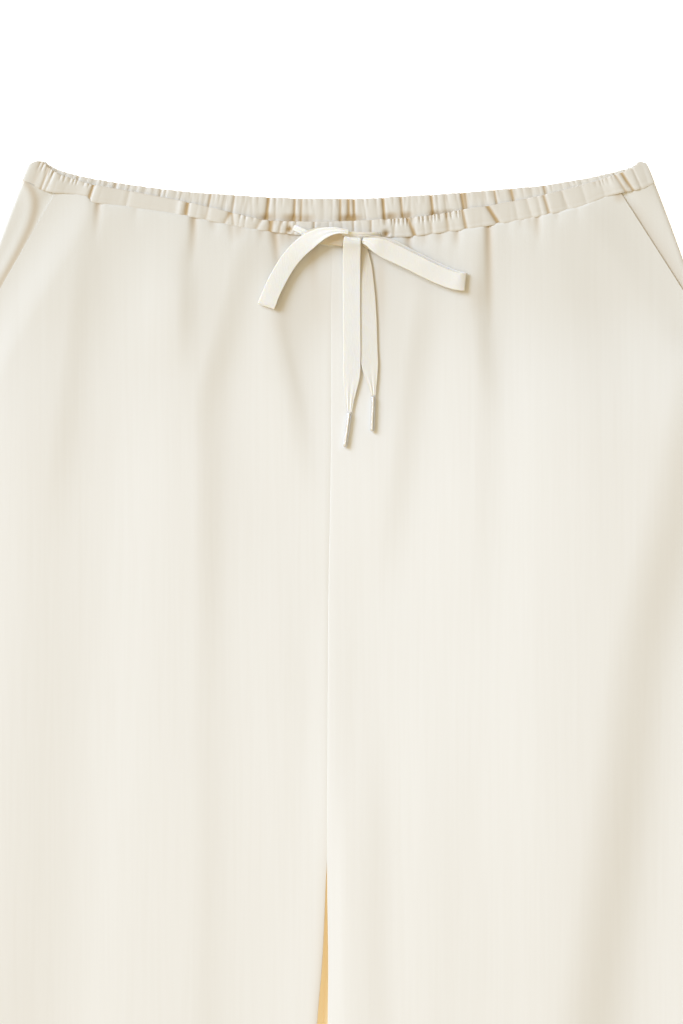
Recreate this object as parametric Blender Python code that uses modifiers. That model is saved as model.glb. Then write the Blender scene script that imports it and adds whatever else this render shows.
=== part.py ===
"""Satin drawstring trousers, laid flat on their back with the front upward.

Lengths in the tables are millimetres. 'across' is measured from the middle of the
waist, positive to the wearer's left hand side as the front is looked at from above
(the viewer's right). 'down' is measured from the highest point of the waist towards
the hem. The model's +Y runs from the hem to the waist and +Z is up from the surface
that the garment lies on.
"""
import math
from collections import namedtuple

import bmesh
import bpy
from mathutils import Vector

MM = 0.001

# Driving sizes of the garment
LENGTH = 1065.0
HEM_HALF = 316.0
HEM_DIP = 3.0
WALL = 1.2
SEAM_GAP = 0.3
EDGE_GAP = 0.5
CURVED_SEAM_GAP = 0.6
BACK_BAND_HEIGHT = 15.5
CASING_EASE = 6.0
BAND_WALL = 2.5
WAIST_HALF = 182.0
CROTCH_DOWN = 352.0
LEGS_PART_DOWN = 396.0
BACKS_PART_DOWN = 560.0

# Heights above the surface that the garment lies on
BACK_TOP = WALL
FRONT_EDGE = BACK_TOP + SEAM_GAP + 0.6
FRONT_LOW = BACK_TOP + SEAM_GAP + WALL + 0.5
FRONT_OVER_POCKET = FRONT_LOW + 1.8
FACING_TOP = BACK_TOP + SEAM_GAP + WALL + 0.2
FRONT_BAND_LOW = BAND_WALL + SEAM_GAP

# Half width of the silhouette at each distance down the side
Side = namedtuple("Side", "down half_width")
SIDES = (
    Side(0.0, 179.6),
    Side(5.0, 182.2),
    Side(12.0, 185.0),
    Side(22.0, 188.9),
    Side(54.0, 200.7),
    Side(100.0, 216.0),
    Side(150.0, 231.5),
    Side(200.0, 245.5),
    Side(260.0, 260.0),
    Side(330.0, 273.5),
    Side(400.0, 284.0),
    Side(500.0, 294.0),
    Side(700.0, 305.0),
    Side(LENGTH, HEM_HALF),
)

# Edges of the gathered waist: the back band's top, and the front band's top and seam
Waist = namedtuple("Waist", "across back_top front_top front_seam")
WAIST = (
    Waist(-182.0, 1.8, 2.0, 11.0),
    Waist(-178.5, 0.2, 0.6, 13.2),
    Waist(-174.0, 0.4, 1.0, 15.2),
    Waist(-170.0, 2.6, 3.6, 17.0),
    Waist(-161.0, 6.1, 8.3, 19.4),
    Waist(-152.0, 8.4, 11.0, 20.8),
    Waist(-141.0, 10.6, 14.0, 22.0),
    Waist(-118.0, 14.2, 18.1, 27.4),
    Waist(-84.0, 18.3, 24.6, 32.8),
    Waist(-60.0, 20.0, 30.2, 38.0),
    Waist(-38.0, 21.4, 34.9, 41.8),
    Waist(-13.0, 22.2, 36.0, 44.6),
    Waist(12.0, 22.2, 35.2, 45.4),
    Waist(36.0, 20.8, 33.6, 45.0),
    Waist(54.0, 19.8, 31.5, 42.8),
    Waist(70.0, 18.7, 28.6, 40.6),
    Waist(86.0, 17.3, 26.2, 37.8),
    Waist(115.0, 14.8, 20.5, 32.2),
    Waist(138.0, 11.2, 15.0, 26.6),
    Waist(147.4, 9.6, 12.4, 22.8),
    Waist(154.7, 8.0, 10.2, 20.6),
    Waist(162.0, 6.3, 8.0, 19.0),
    Waist(173.0, 3.4, 4.2, 16.9),
    Waist(176.7, 1.4, 2.0, 15.6),
    Waist(179.0, 0.4, 0.9, 14.4),
    Waist(182.0, 1.6, 1.8, 13.2),
)

# The centre seam, and below the crotch the inner edges of the two front legs
Inner = namedtuple("Inner", "down left right")
INNER = (
    Inner(40.0, -4.25, -3.95),
    Inner(155.0, -4.25, -3.95),
    Inner(266.0, -5.95, -5.65),
    Inner(CROTCH_DOWN, -6.45, -6.15),
    Inner(LEGS_PART_DOWN, -6.65, -6.05),
    Inner(470.0, -9.5, -5.3),
    Inner(505.0, -11.9, -5.9),
    Inner(640.0, -18.0, -6.0),
    Inner(LENGTH, -24.0, 14.0),
)

# Slanted pocket openings: where they leave the waist seam, their slope and their end
Pocket = namedtuple("Pocket", "side top_across top_down slope end_down")
POCKETS = (
    Pocket(-1, 165.5, 19.0, 0.575, 119.0),
    Pocket(1, 165.5, 19.0, 0.640, 99.0),
)
FACING_UNDERLAP = 15.0
FACING_FOOT = 5.0

# Beside a facing the front comes down to its low height over these distances
LIFT_FROM = 3.0
LIFT_TO = 32.0
LIFT_FOOT = 40.0

# How far the cloth rolls down at its edges, and how the panels' meshes are divided
PANEL_ROLL = 4.0
POCKET_EDGE_DIP = 0.3
SEAM_EDGE_DIP = 0.5
FACING_ROLL = 2.5
ROLL_ANGLES = (0, 30, 60, 90)
FRONT_MESH = (22, 25)
FACING_MESH = (3, 11)
BACK_MESH = (17, 19)
ROW_BUNCHING = 1.35
SEAM_PASSES = 6
PANEL_START = (90.0, 30.0)
FACING_START = (170.0, 15.0)

# Long soft folds. Each ridge runs down through three places, has its own spread on its
# left and right flank, and fades in below 'start' and out above 'stop'
Fold = namedtuple("Fold", "start a_down a_x b_down b_x c_down c_x stop left right high")
FOLDS = (
    Fold(26, 58, -162, 100, -164, 160, -170, 240, 20, 10, 1.4),
    Fold(30, 35, -88, 58, -94, 100, -95, 130, 14, 6, 1.8),
    Fold(26, 82, -69, 140, -84, 491, -86, 330, 50, 9, 1.2),
    Fold(26, 82, -69, 140, -84, 491, -86, 900, 60, 10, 1.2),
    Fold(60, 82, -84, 280, -104, 491, -121, 1000, 20, 60, 1.3),
    Fold(36, 64, -43, 100, -36, 160, -28, 215, 14, 6, 1.6),
    Fold(34, 50, -33, 80, -30, 120, -30, 130, 8, 9, 1.6),
    Fold(40, 60, 8, 100, 8, 140, 8, 170, 10, 16, 1.2),
    Fold(50, 82, 43, 140, 34, 234, 22, 270, 26, 9, 2.0),
    Fold(32, 58, 79, 82, 76, 117, 80, 170, 16, 7, 1.5),
    Fold(36, 58, 79, 140, 79, 234, 77, 300, 26, 9, 1.5),
    Fold(36, 64, 116, 140, 120, 330, 122, 700, 16, 30, 1.2),
    Fold(34, 58, 125, 100, 135, 187, 143, 300, 30, 14, 1.3),
    Fold(110, 187, 181, 287, 159, 491, 133, 1000, 85, 18, 7.6),
    Fold(250, 316, 232, 400, 225, 491, 218, 1000, 26, 24, 2.0),
    Fold(120, 164, -190, 316, -198, 491, -209, 1000, 30, 28, 3.6),
    Fold(240, 300, -33, 340, -32, 400, -34, 460, 16, 8, 0.5),
    Fold(250, 300, -3, 351, -3, 420, -6, 440, 9, 9, 0.6),
    Fold(330, 400, 14, 491, 15, 700, 20, 900, 24, 9, 1.5),
    Fold(330, 420, 50, 491, 50, 900, 60, 1200, 16, 14, 1.0),
    Fold(560, 640, -150, 800, -172, 1065, -196, 1300, 22, 14, 1.8),
    Fold(520, 640, 236, 800, 250, 1065, 262, 1300, 16, 26, 1.9),
    Fold(600, 700, 170, 860, 176, 1065, 188, 1300, 26, 13, 2.0),
    Fold(640, 720, -70, 880, -74, 1065, -60, 1300, 15, 20, 1.5),
)
FOLD_FADE = 60.0
FOLD_LIMIT = 10.0
FOLD_BEND = 0.7
FOLD_DYING = 0.45

# Waves of the gathered bands
Gather = namedtuple("Gather", "waves lift scallop wander")
BACK_GATHERS = Gather(74, 0.55, 0.35, 0.0016)
FRONT_GATHERS = Gather(58, 0.55, 0.30, 0.0026)
WAVE_SHAPE = (0.0, 1.0, 0.1, -0.6)
BAND_END = 0.985

# The casing's outer face in section, from its seam over its crown to its top edge
Section = namedtuple("Section", "from_top crown lift")
BAND_SECTION = (
    Section(1.0, 0.68, 0.5),
    Section(0.62, 1.0, 1.0),
    Section(0.22, 0.94, 1.0),
    Section(0.0, 0.5, 0.4),
)
BAND_TOP_TURN = 0.3

# Drawstring: a flat ribbon tied in a bow. 'lift' is its middle's height over the cloth,
# 'roll' turns it about its own length and 'wide' narrows it where it is gathered
RIBBON_WALL = 1.0
RIBBON_REACH = 5.0
LEVEL_SHARE = 0.35
Run = namedtuple("Run", "across down lift roll wide")
LOOP_LEFT = (
    Run(3.3, 47.6, 2.8, 0, 5.0),
    Run(-6.0, 47.4, 2.9, 0, 8.0),
    Run(-15.0, 50.4, 2.9, 0, 10.0),
    Run(-23.5, 57.2, 2.2, 0, 10.0),
    Run(-30.5, 66.6, 1.2, 0, 10.0),
    Run(-36.0, 76.0, 1.2, 0, 10.0),
    Run(-40.0, 83.2, 1.7, 0, 10.0),
    Run(-42.4, 86.0, 3.7, 0, 10.0),
    Run(-41.4, 82.6, 5.8, 0, 10.0),
    Run(-36.9, 73.2, 6.6, 0, 10.0),
    Run(-30.4, 62.6, 6.9, 0, 10.0),
    Run(-22.6, 53.2, 7.0, 8, 10.0),
    Run(-14.0, 46.9, 7.0, 20, 9.0),
    Run(-5.5, 44.6, 6.8, 32, 7.0),
    Run(3.3, 45.4, 6.2, 30, 4.6),
)
LOOP_RIGHT = (
    Run(14.4, 47.2, 2.8, 0, 4.0),
    Run(22.0, 48.2, 2.9, 0, 8.0),
    Run(31.0, 51.2, 2.6, 0, 10.0),
    Run(41.0, 55.6, 1.5, 0, 10.0),
    Run(52.0, 60.8, 1.2, 0, 10.0),
    Run(63.0, 66.0, 1.2, 0, 10.0),
    Run(71.5, 69.8, 1.7, 0, 10.0),
    Run(76.4, 71.9, 3.6, 0, 10.0),
    Run(72.5, 72.4, 5.7, 0, 10.0),
    Run(64.5, 70.0, 6.3, 0, 10.0),
    Run(55.0, 65.8, 6.7, 0, 10.0),
    Run(45.6, 61.3, 6.9, 0, 10.0),
    Run(36.0, 57.0, 6.9, 0, 10.0),
    Run(27.0, 52.9, 6.8, 0, 9.5),
    Run(20.0, 49.6, 6.6, 0, 7.5),
    Run(14.4, 47.4, 6.2, 0, 4.0),
)
TAIL_LEFT = (
    Run(8.7, 51.5, 4.8, 0, 9.0),
    Run(8.5, 57.0, 4.4, 0, 10.0),
    Run(8.3, 68.0, 3.9, 0, 10.0),
    Run(8.2, 82.0, 3.7, 0, 10.0),
    Run(8.2, 98.0, 3.5, 0, 10.0),
    Run(8.1, 114.0, 3.0, 0, 10.0),
    Run(7.9, 126.0, 2.4, 0, 9.8),
    Run(7.4, 134.0, 1.9, 0, 7.6),
    Run(6.9, 141.0, 1.6, 0, 4.6),
    Run(6.7, 147.8, 1.6, 0, 2.4),
)
TAIL_RIGHT = (
    Run(14.6, 52.2, 1.0, 0, 6.0),
    Run(14.9, 58.0, 1.0, 0, 9.4),
    Run(16.0, 67.0, 1.0, 0, 10.0),
    Run(17.2, 79.0, 1.0, 0, 10.0),
    Run(18.1, 94.0, 1.0, 0, 10.0),
    Run(18.4, 108.0, 1.1, 0, 10.0),
    Run(18.6, 119.0, 1.2, 0, 9.6),
    Run(19.2, 126.5, 1.4, 0, 7.0),
    Run(20.2, 132.5, 1.5, 0, 4.4),
    Run(20.7, 137.9, 1.6, 0, 2.4),
)
LEAD_LEFT = (
    Run(-24.5, 39.6, 0.9, 0, 6.0),
    Run(-18.0, 43.2, 0.9, 0, 7.0),
    Run(-10.0, 46.4, 0.9, 0, 7.0),
    Run(-2.0, 48.0, 0.9, 0, 6.5),
    Run(3.3, 48.4, 0.9, 0, 5.0),
)
LEAD_RIGHT = (
    Run(25.5, 42.0, 0.9, 0, 6.0),
    Run(19.5, 44.6, 0.9, 0, 6.5),
    Run(14.4, 47.0, 0.9, 0, 5.0),
)
POINTS_PER_RUN = 4

KNOT_ACROSS = 8.8
KNOT_DOWN = 48.0
KNOT_WIDE = 9.8
KNOT_TALL = 5.8
KNOT_HIGH = 6.6
KNOT_REST = 0.5
KNOT_ROUNDING = 1.7

Aglet = namedtuple("Aglet", "name top_across top_down foot_across foot_down")
AGLETS = (
    Aglet("aglet_left", 6.7, 148.4, 4.0, 168.0),
    Aglet("aglet_right", 20.7, 138.5, 19.9, 158.9),
)
AGLET_DIAMETER = 2.6
AGLET_REST = 0.4
AGLET_RIM = 0.3


def clear_scene():
    for obj in list(bpy.data.objects):
        bpy.data.objects.remove(obj, do_unlink=True)


def new_collection(name):
    collection = bpy.data.collections.new(name)
    bpy.context.scene.collection.children.link(collection)
    return collection


def material(name, colour, roughness, metallic, sheen=0.0):
    made = bpy.data.materials.new(name)
    made.use_nodes = True
    shader = made.node_tree.nodes["Principled BSDF"]
    shader.inputs["Base Color"].default_value = (*colour, 1.0)
    shader.inputs["Roughness"].default_value = roughness
    shader.inputs["Metallic"].default_value = metallic
    shader.inputs["Sheen Weight"].default_value = sheen
    made.diffuse_color = (*colour, 1.0)
    return made


def place(across, down, height):
    """Puts a place on the garment into the model's frame, in metres."""
    return Vector((across * MM, (LENGTH / 2 - down) * MM, height * MM))


def smooth_step(low, high, value):
    t = min(1.0, max(0.0, (value - low) / (high - low)))
    return t * t * (3.0 - 2.0 * t)


def read(rows, column, at):
    """Reads a column between its rows on a smooth curve that never overshoots a row."""
    keys = [row[0] for row in rows]
    values = [getattr(row, column) for row in rows]
    if at <= keys[0]:
        return values[0]
    if at >= keys[-1]:
        return values[-1]
    i = max(k for k in range(len(keys) - 1) if keys[k] <= at)
    steps = [(values[k + 1] - values[k]) / (keys[k + 1] - keys[k]) for k in range(len(keys) - 1)]

    def slope(k):
        if k == 0 or k == len(keys) - 1:
            return steps[min(k, len(steps) - 1)]
        if steps[k - 1] * steps[k] <= 0.0:
            return 0.0
        return 2.0 * steps[k - 1] * steps[k] / (steps[k - 1] + steps[k])

    width = keys[i + 1] - keys[i]
    t = (at - keys[i]) / width
    start = values[i] * (1 + 2 * t) * (1 - t) ** 2 + slope(i) * width * t * (1 - t) ** 2
    end = values[i + 1] * t * t * (3 - 2 * t) - slope(i + 1) * width * t * t * (1 - t)
    return start + end


def half_width(down):
    return read(SIDES, "half_width", down)


def waist(column, across):
    return read(WAIST, column, across)


def band_place(across, down):
    """The table's place for a point: the band's ends slant outward with the silhouette."""
    return across * WAIST_HALF / half_width(down)


def front_seam(across, down):
    return waist("front_seam", band_place(across, down))


def back_casing_seam(across):
    """The back casing's seam, no lower than the front's, which it meets at the sides."""
    own = waist("back_top", across) + BACK_BAND_HEIGHT
    front = waist("front_seam", across)
    return front + (own - front) * smooth_step(0.0, CASING_EASE, front - own)


def back_seam(across, down):
    return back_casing_seam(band_place(across, down))


def pocket(side):
    return POCKETS[0] if side < 0 else POCKETS[1]


def opening_edge(side, down):
    """Distance from the middle to the slanted pocket edge, or the side below its end."""
    row = pocket(side)
    slant = row.top_across + row.slope * (down - row.top_down)
    return min(slant, half_width(down))


def inner_edge(side, down):
    return read(INNER, "left" if side < 0 else "right", down)


def back_inner_edge(side, down):
    """The back legs reach further in than the front ones, until they part lower down."""
    middle = (inner_edge(-1, down) + inner_edge(1, down)) / 2
    apart = 0.5 * (inner_edge(1, down) - inner_edge(-1, down)) - 3.0
    parted = max(0.0, apart) * smooth_step(BACKS_PART_DOWN, LENGTH, down)
    return middle + side * (SEAM_GAP / 2 + parted)


def fold_height(row, across, down):
    """Height of one fold: a ridge that bends once, soft on both flanks."""
    upper = row.a_x + (row.b_x - row.a_x) * (down - row.a_down) / (row.b_down - row.a_down)
    lower = row.b_x + (row.c_x - row.b_x) * (down - row.b_down) / (row.c_down - row.b_down)
    bend = FOLD_BEND * min(row.b_down - row.a_down, row.c_down - row.b_down)
    turn = smooth_step(row.b_down - bend, row.b_down + bend, down)
    offset = across - (upper * (1.0 - turn) + lower * turn)
    spread = row.left if offset < 0 else row.right
    fade_in = smooth_step(row.start - FOLD_FADE / 2, row.start + FOLD_FADE, down)
    dying = row.stop - FOLD_DYING * (row.stop - row.start)
    fade_out = 1.0 - smooth_step(dying, row.stop, down)
    return row.high * fade_in * fade_out * math.exp(-0.5 * (offset / spread) ** 2)


def over_pocket(across, down):
    """One where the front lies on the pocket facing, fading to nothing beside it."""
    side = -1 if across < 0 else 1
    inside = opening_edge(side, down) - abs(across)
    beside = 1.0 - smooth_step(FACING_UNDERLAP + LIFT_FROM, FACING_UNDERLAP + LIFT_TO, inside)
    foot = pocket(side).end_down
    return beside * (1.0 - smooth_step(foot, foot + LIFT_FOOT, down))


def front_height(across, down):
    """Height of the front's outer face, away from its rolled edges."""
    folds = FOLD_LIMIT * math.tanh(sum(fold_height(row, across, down) for row in FOLDS) / FOLD_LIMIT)
    lift = (FRONT_OVER_POCKET - FRONT_LOW) * over_pocket(across, down)
    return FRONT_LOW + lift + folds


def cloth_top(across, down):
    """Height of whatever the drawstring lies on: the gathered band, then the front."""
    band_top = FRONT_BAND_LOW + BAND_WALL
    seam = front_seam(across, down)
    near_band = 1.0 - smooth_step(seam + 1.0, seam + 26.0, down)
    panel = front_height(across, down)
    return panel + max(0.0, band_top - panel) * near_band


def rest_height(across, down):
    """Height of the highest cloth under the width of a ribbon."""
    steps = (-RIBBON_REACH, 0.0, RIBBON_REACH)
    return max(cloth_top(across + a, down + d) for a in steps for d in steps)


def rolled(edge_height, height, distance, radius):
    """Height near an edge that rolls down like a quarter of an ellipse."""
    t = min(1.0, max(0.0, distance / radius))
    return edge_height + (height - edge_height) * math.sqrt(1.0 - (1.0 - t) ** 2)


def link(collection, mesh, name, finish):
    mesh.name = name
    obj = bpy.data.objects.new(name, mesh)
    obj.data.materials.append(finish)
    collection.objects.link(obj)
    mesh.shade_smooth()
    mesh.set_sharp_from_angle(angle=math.radians(50))
    return obj


def grid_mesh(name, columns, rows, point):
    """An open sheet whose corners come from point(column, row), facing upward."""
    bm = bmesh.new()
    verts = [[bm.verts.new(point(c, r)) for c in range(columns)] for r in range(rows)]
    for r in range(rows - 1):
        for c in range(columns - 1):
            corners = (verts[r][c], verts[r][c + 1], verts[r + 1][c + 1], verts[r + 1][c])
            bm.faces.new(corners)
    bm.normal_update()
    if sum(face.normal.z for face in bm.faces) < 0:
        bmesh.ops.reverse_faces(bm, faces=bm.faces)
    mesh = bpy.data.meshes.new(name)
    bm.to_mesh(mesh)
    bm.free()
    return mesh


def ring_mesh(name, rings):
    """A closed body lofted through rings of equal count, capped at both ends."""
    bm = bmesh.new()
    loops = [[bm.verts.new(p) for p in ring] for ring in rings]
    count = len(rings[0])
    for first, second in zip(loops, loops[1:]):
        for k in range(count):
            n = (k + 1) % count
            bm.faces.new((first[k], first[n], second[n], second[k]))
    bm.faces.new(reversed(loops[0]))
    bm.faces.new(loops[-1])
    if bm.calc_volume(signed=True) < 0.0:
        bmesh.ops.reverse_faces(bm, faces=bm.faces)
    mesh = bpy.data.meshes.new(name)
    bm.to_mesh(mesh)
    bm.free()
    return mesh


def add_wall(obj, thickness, offset):
    shell = obj.modifiers.new("cloth wall", "SOLIDIFY")
    shell.thickness = thickness * MM
    shell.offset = offset
    shell.use_rim = True


def spread_columns(start, end, radius, between):
    """Places from one rolled edge to the other, close together where the cloth rolls."""
    quarter = [radius * (1.0 - math.cos(math.radians(a))) for a in ROLL_ANGLES]
    sign = 1.0 if end > start else -1.0
    places = [start + sign * d for d in quarter]
    inner_start = places[-1]
    inner_end = end - sign * radius
    for k in range(1, between + 1):
        places.append(inner_start + (inner_end - inner_start) * k / (between + 1))
    places.extend(end - sign * d for d in reversed(quarter))
    return places


def row_fractions(count):
    """Fractions down a leg, closer together near the waist."""
    return [(k / (count - 1)) ** ROW_BUNCHING for k in range(count)]


def hem_down(across):
    return LENGTH - HEM_DIP * (abs(across) / HEM_HALF - 1.0) ** 2


def front_panel(collection, finish, side):
    roll = PANEL_ROLL
    between, rows = FRONT_MESH
    fractions = row_fractions(rows)
    columns = between + 2 * len(ROLL_ANGLES)
    outer_end = pocket(side).end_down

    def outer(down):
        return side * opening_edge(side, down)

    def edge_distance(across, down):
        return abs(outer(down) - across)

    def point(c, r):
        across = PANEL_START[0] * side
        seam_down = PANEL_START[1]
        for _ in range(SEAM_PASSES):
            top = front_seam(across, seam_down) + CURVED_SEAM_GAP
            seam_down = top
            down = top + (hem_down(across) - top) * fractions[r]
            across = spread_columns(inner_edge(side, down), outer(down), roll, between)[c]
        height = front_height(across, down)
        side_drop = smooth_step(outer_end - 2.0, outer_end + 22.0, down)
        side_edge = (height - POCKET_EDGE_DIP) * (1 - side_drop) + FRONT_EDGE * side_drop
        leg_drop = smooth_step(CROTCH_DOWN - 20.0, LEGS_PART_DOWN + 10.0, down)
        seam_edge = (height - SEAM_EDGE_DIP) * (1 - leg_drop) + FRONT_EDGE * leg_drop
        from_seam = abs(across - inner_edge(side, down))
        height = rolled(seam_edge, height, from_seam, roll)
        height = rolled(side_edge, height, edge_distance(across, down), roll)
        return place(across, down, height)

    name = "front_left" if side < 0 else "front_right"
    obj = link(collection, grid_mesh(name, columns, rows, point), name, finish)
    add_wall(obj, WALL, -1.0)


def back_panel(collection, finish, side):
    columns, rows = BACK_MESH
    fractions = row_fractions(rows)

    def point(c, r):
        across = PANEL_START[0] * side
        seam_down = PANEL_START[1]
        for _ in range(SEAM_PASSES):
            top = back_seam(across, seam_down) + CURVED_SEAM_GAP
            seam_down = top
            down = top + (hem_down(across) - 1.0 - top) * fractions[r]
            start = back_inner_edge(side, down)
            end = side * (half_width(down) - EDGE_GAP)
            across = start + (end - start) * c / (columns - 1)
        return place(across, down, 0.0)

    name = "back_left" if side < 0 else "back_right"
    obj = link(collection, grid_mesh(name, columns, rows, point), name, finish)
    add_wall(obj, WALL, 1.0)


def pocket_facing(collection, finish, side):
    roll = FACING_ROLL
    between, rows = FACING_MESH
    columns = between + 2 * len(ROLL_ANGLES)
    foot = pocket(side).end_down - FACING_FOOT

    def point(c, r):
        across = FACING_START[0] * side
        seam_down = FACING_START[1]
        for _ in range(SEAM_PASSES):
            top = front_seam(across, seam_down) + CURVED_SEAM_GAP
            seam_down = top
            down = top + (foot - top) * r / (rows - 1)
            start = side * (opening_edge(side, down) - FACING_UNDERLAP)
            end = side * half_width(down)
            across = spread_columns(start, end, roll, between)[c]
        from_side = half_width(down) - abs(across)
        height = rolled(FRONT_EDGE, FACING_TOP, from_side, roll)
        return place(across, down, height)

    name = "pocket_facing_left" if side < 0 else "pocket_facing_right"
    obj = link(collection, grid_mesh(name, columns, rows, point), name, finish)
    add_wall(obj, WALL, -1.0)


def gather_columns(gathers):
    """Places along a band from -1 to 1, with each one's wave height; two slow waves make
    the gathers uneven, and they die out at the band's ends."""
    per_wave = len(WAVE_SHAPE)
    total = gathers.waves * per_wave
    columns = []
    for k in range(total + 1):
        along = -1.0 + 2.0 * k / total
        ends = 1.0 - along ** 8
        along += ends * gathers.wander * (math.sin(9.3 * along) + 0.8 * math.sin(23.0 * along + 1.0))
        swell = 0.72 + 0.28 * math.sin(14.0 * along + 0.6) * math.cos(5.0 * along)
        columns.append((along, ends * swell * WAVE_SHAPE[k % per_wave]))
    return columns


def band(collection, finish, name, gathers, top_of, seam_of, low):
    """A gathered casing: a plain underside and a waved outer face with a scalloped top."""
    rings = []
    for along, wave in gather_columns(gathers):
        top = top_of(along * WAIST_HALF) - gathers.scallop * wave
        seam = seam_of(along * WAIST_HALF)
        tall = seam - top
        over_end = max(0.0, abs(along) - BAND_END) / (1.0002 - BAND_END)
        end_round = math.sqrt(max(0.0, 1.0 - over_end ** 2))
        crown = (BAND_WALL - gathers.lift) * (0.4 + 0.6 * end_round)
        lift = gathers.lift * wave
        section = [(seam, low)]
        for row in BAND_SECTION:
            section.append((top + row.from_top * tall, low + row.crown * crown + row.lift * lift))
        section.append((top + BAND_TOP_TURN, low))
        ring = []
        for down, height in section:
            across = along * half_width(down)
            ring.append(place(across, down, height))
        rings.append(ring)
    link(collection, ring_mesh(name, rings), name, finish)


def smooth_route(runs):
    """Points on a smooth curve through a route's rows, with roll and width along it."""
    rows = [Vector((r.across, r.down, r.lift)) for r in runs]
    turns = [r.roll for r in runs]
    widths = [r.wide for r in runs]
    made = []
    for k in range(len(rows) - 1):
        before = rows[max(0, k - 1)]
        after = rows[min(len(rows) - 1, k + 2)]
        for step in range(POINTS_PER_RUN):
            t = step / POINTS_PER_RUN
            tangent_a = (rows[k + 1] - before) * 0.5
            tangent_b = (after - rows[k]) * 0.5
            point = rows[k] * (1 + 2 * t) * (1 - t) ** 2
            point += rows[k + 1] * t * t * (3 - 2 * t)
            point += tangent_a * t * (1 - t) ** 2 - tangent_b * t * t * (1 - t)
            roll = turns[k] + (turns[k + 1] - turns[k]) * t
            wide = widths[k] + (widths[k + 1] - widths[k]) * t
            made.append((point, roll, wide))
    made.append((rows[-1], turns[-1], widths[-1]))
    return made


def ribbon(collection, finish, name, runs):
    """A flat strip along a route, its width lying level unless it is rolled."""
    points = smooth_route(runs)
    heading = Vector((0.0, 0.0, 0.0))
    previous = None
    frames = []
    for k, (point, roll, wide) in enumerate(points):
        ahead = points[min(len(points) - 1, k + 1)][0]
        behind = points[max(0, k - 1)][0]
        step = ahead - behind
        level = Vector((step.x, step.y, 0.0))
        if level.length > LEVEL_SHARE * step.length:
            heading = level.normalized()
            if previous is not None and heading.dot(previous) < 0:
                heading = -heading
            previous = heading
        side = Vector((-heading.y, heading.x, 0.0))
        turned = side * math.cos(math.radians(roll)) + Vector((0, 0, 1)) * math.sin(math.radians(roll))
        base = rest_height(point.x, point.y)
        frames.append((Vector((point.x, point.y, base + point.z)), turned, wide))

    def corner(c, r):
        middle, across, wide = frames[r]
        where = middle + across * wide * (c / 2 - 0.5)
        return place(where.x, where.y, where.z)

    obj = link(collection, grid_mesh(name, 3, len(frames), corner), name, finish)
    add_wall(obj, RIBBON_WALL, 0.0)


def knot(collection, finish):
    bpy.ops.mesh.primitive_cube_add(size=1.0)
    obj = bpy.context.object
    mesh = obj.data
    base = rest_height(KNOT_ACROSS, KNOT_DOWN) + KNOT_REST
    middle = place(KNOT_ACROSS, KNOT_DOWN, base + KNOT_HIGH / 2)
    for vert in mesh.vertices:
        size = Vector((KNOT_WIDE, KNOT_TALL, KNOT_HIGH)) * MM
        vert.co = Vector((vert.co.x * size.x, vert.co.y * size.y, vert.co.z * size.z)) + middle
    obj.name = "drawstring_knot"
    mesh.materials.append(finish)
    for owner in list(obj.users_collection):
        owner.objects.unlink(obj)
    collection.objects.link(obj)
    soft = obj.modifiers.new("soft corners", "BEVEL")
    soft.width = KNOT_ROUNDING * MM
    soft.segments = 3


def aglet(collection, finish, row):
    rise = AGLET_DIAMETER / 2 + AGLET_REST
    top = place(row.top_across, row.top_down, cloth_top(row.top_across, row.top_down) + rise)
    foot = place(row.foot_across, row.foot_down, cloth_top(row.foot_across, row.foot_down) + rise)
    axis = foot - top
    bpy.ops.mesh.primitive_cylinder_add(
        vertices=14, radius=AGLET_DIAMETER / 2 * MM, depth=axis.length, end_fill_type="NGON"
    )
    obj = bpy.context.object
    obj.name = row.name
    obj.location = (top + foot) / 2
    obj.rotation_mode = "QUATERNION"
    obj.rotation_quaternion = axis.to_track_quat("Z", "Y")
    obj.data.materials.append(finish)
    for owner in list(obj.users_collection):
        owner.objects.unlink(obj)
    collection.objects.link(obj)
    rim = obj.modifiers.new("rolled rims", "BEVEL")
    rim.width = AGLET_RIM * MM
    rim.segments = 1
    rim.limit_method = "ANGLE"
    rim.angle_limit = math.radians(60)


def main():
    clear_scene()
    trousers = new_collection("trousers")
    satin = material("ivory satin", (0.88, 0.84, 0.74), 0.42, 0.0, sheen=0.3)
    inside = material("ivory satin reverse", (0.84, 0.79, 0.68), 0.6, 0.0)
    tape = material("ivory ribbon", (0.80, 0.76, 0.66), 0.5, 0.0)
    metal = material("pale metal", (0.78, 0.75, 0.70), 0.2, 1.0)

    for side in (-1, 1):
        back_panel(trousers, satin, side)
        pocket_facing(trousers, satin, side)
        front_panel(trousers, satin, side)
    band(
        trousers, inside, "waistband_back", BACK_GATHERS,
        lambda x: waist("back_top", x), back_casing_seam, 0.0,
    )
    band(
        trousers, satin, "waistband_front", FRONT_GATHERS,
        lambda x: waist("front_top", x), lambda x: waist("front_seam", x), FRONT_BAND_LOW,
    )
    knot(trousers, tape)
    ribbon(trousers, tape, "drawstring_loop_left", LOOP_LEFT)
    ribbon(trousers, tape, "drawstring_loop_right", LOOP_RIGHT)
    ribbon(trousers, tape, "drawstring_tail_left", TAIL_LEFT)
    ribbon(trousers, tape, "drawstring_tail_right", TAIL_RIGHT)
    ribbon(trousers, tape, "drawstring_lead_left", LEAD_LEFT)
    ribbon(trousers, tape, "drawstring_lead_right", LEAD_RIGHT)
    for row in AGLETS:
        aglet(trousers, metal, row)


main()
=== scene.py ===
"""Looks of the satin drawstring trousers, laid flat with the front up.

The tables are in millimetres, as the garment's own sizes are. 'across' is measured from
the middle of the waist to the viewer's right, 'down' from the highest point of the waist
towards the hem. Height is over the surface that the garment lies on.
"""
import math
import random
from collections import namedtuple

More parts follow.
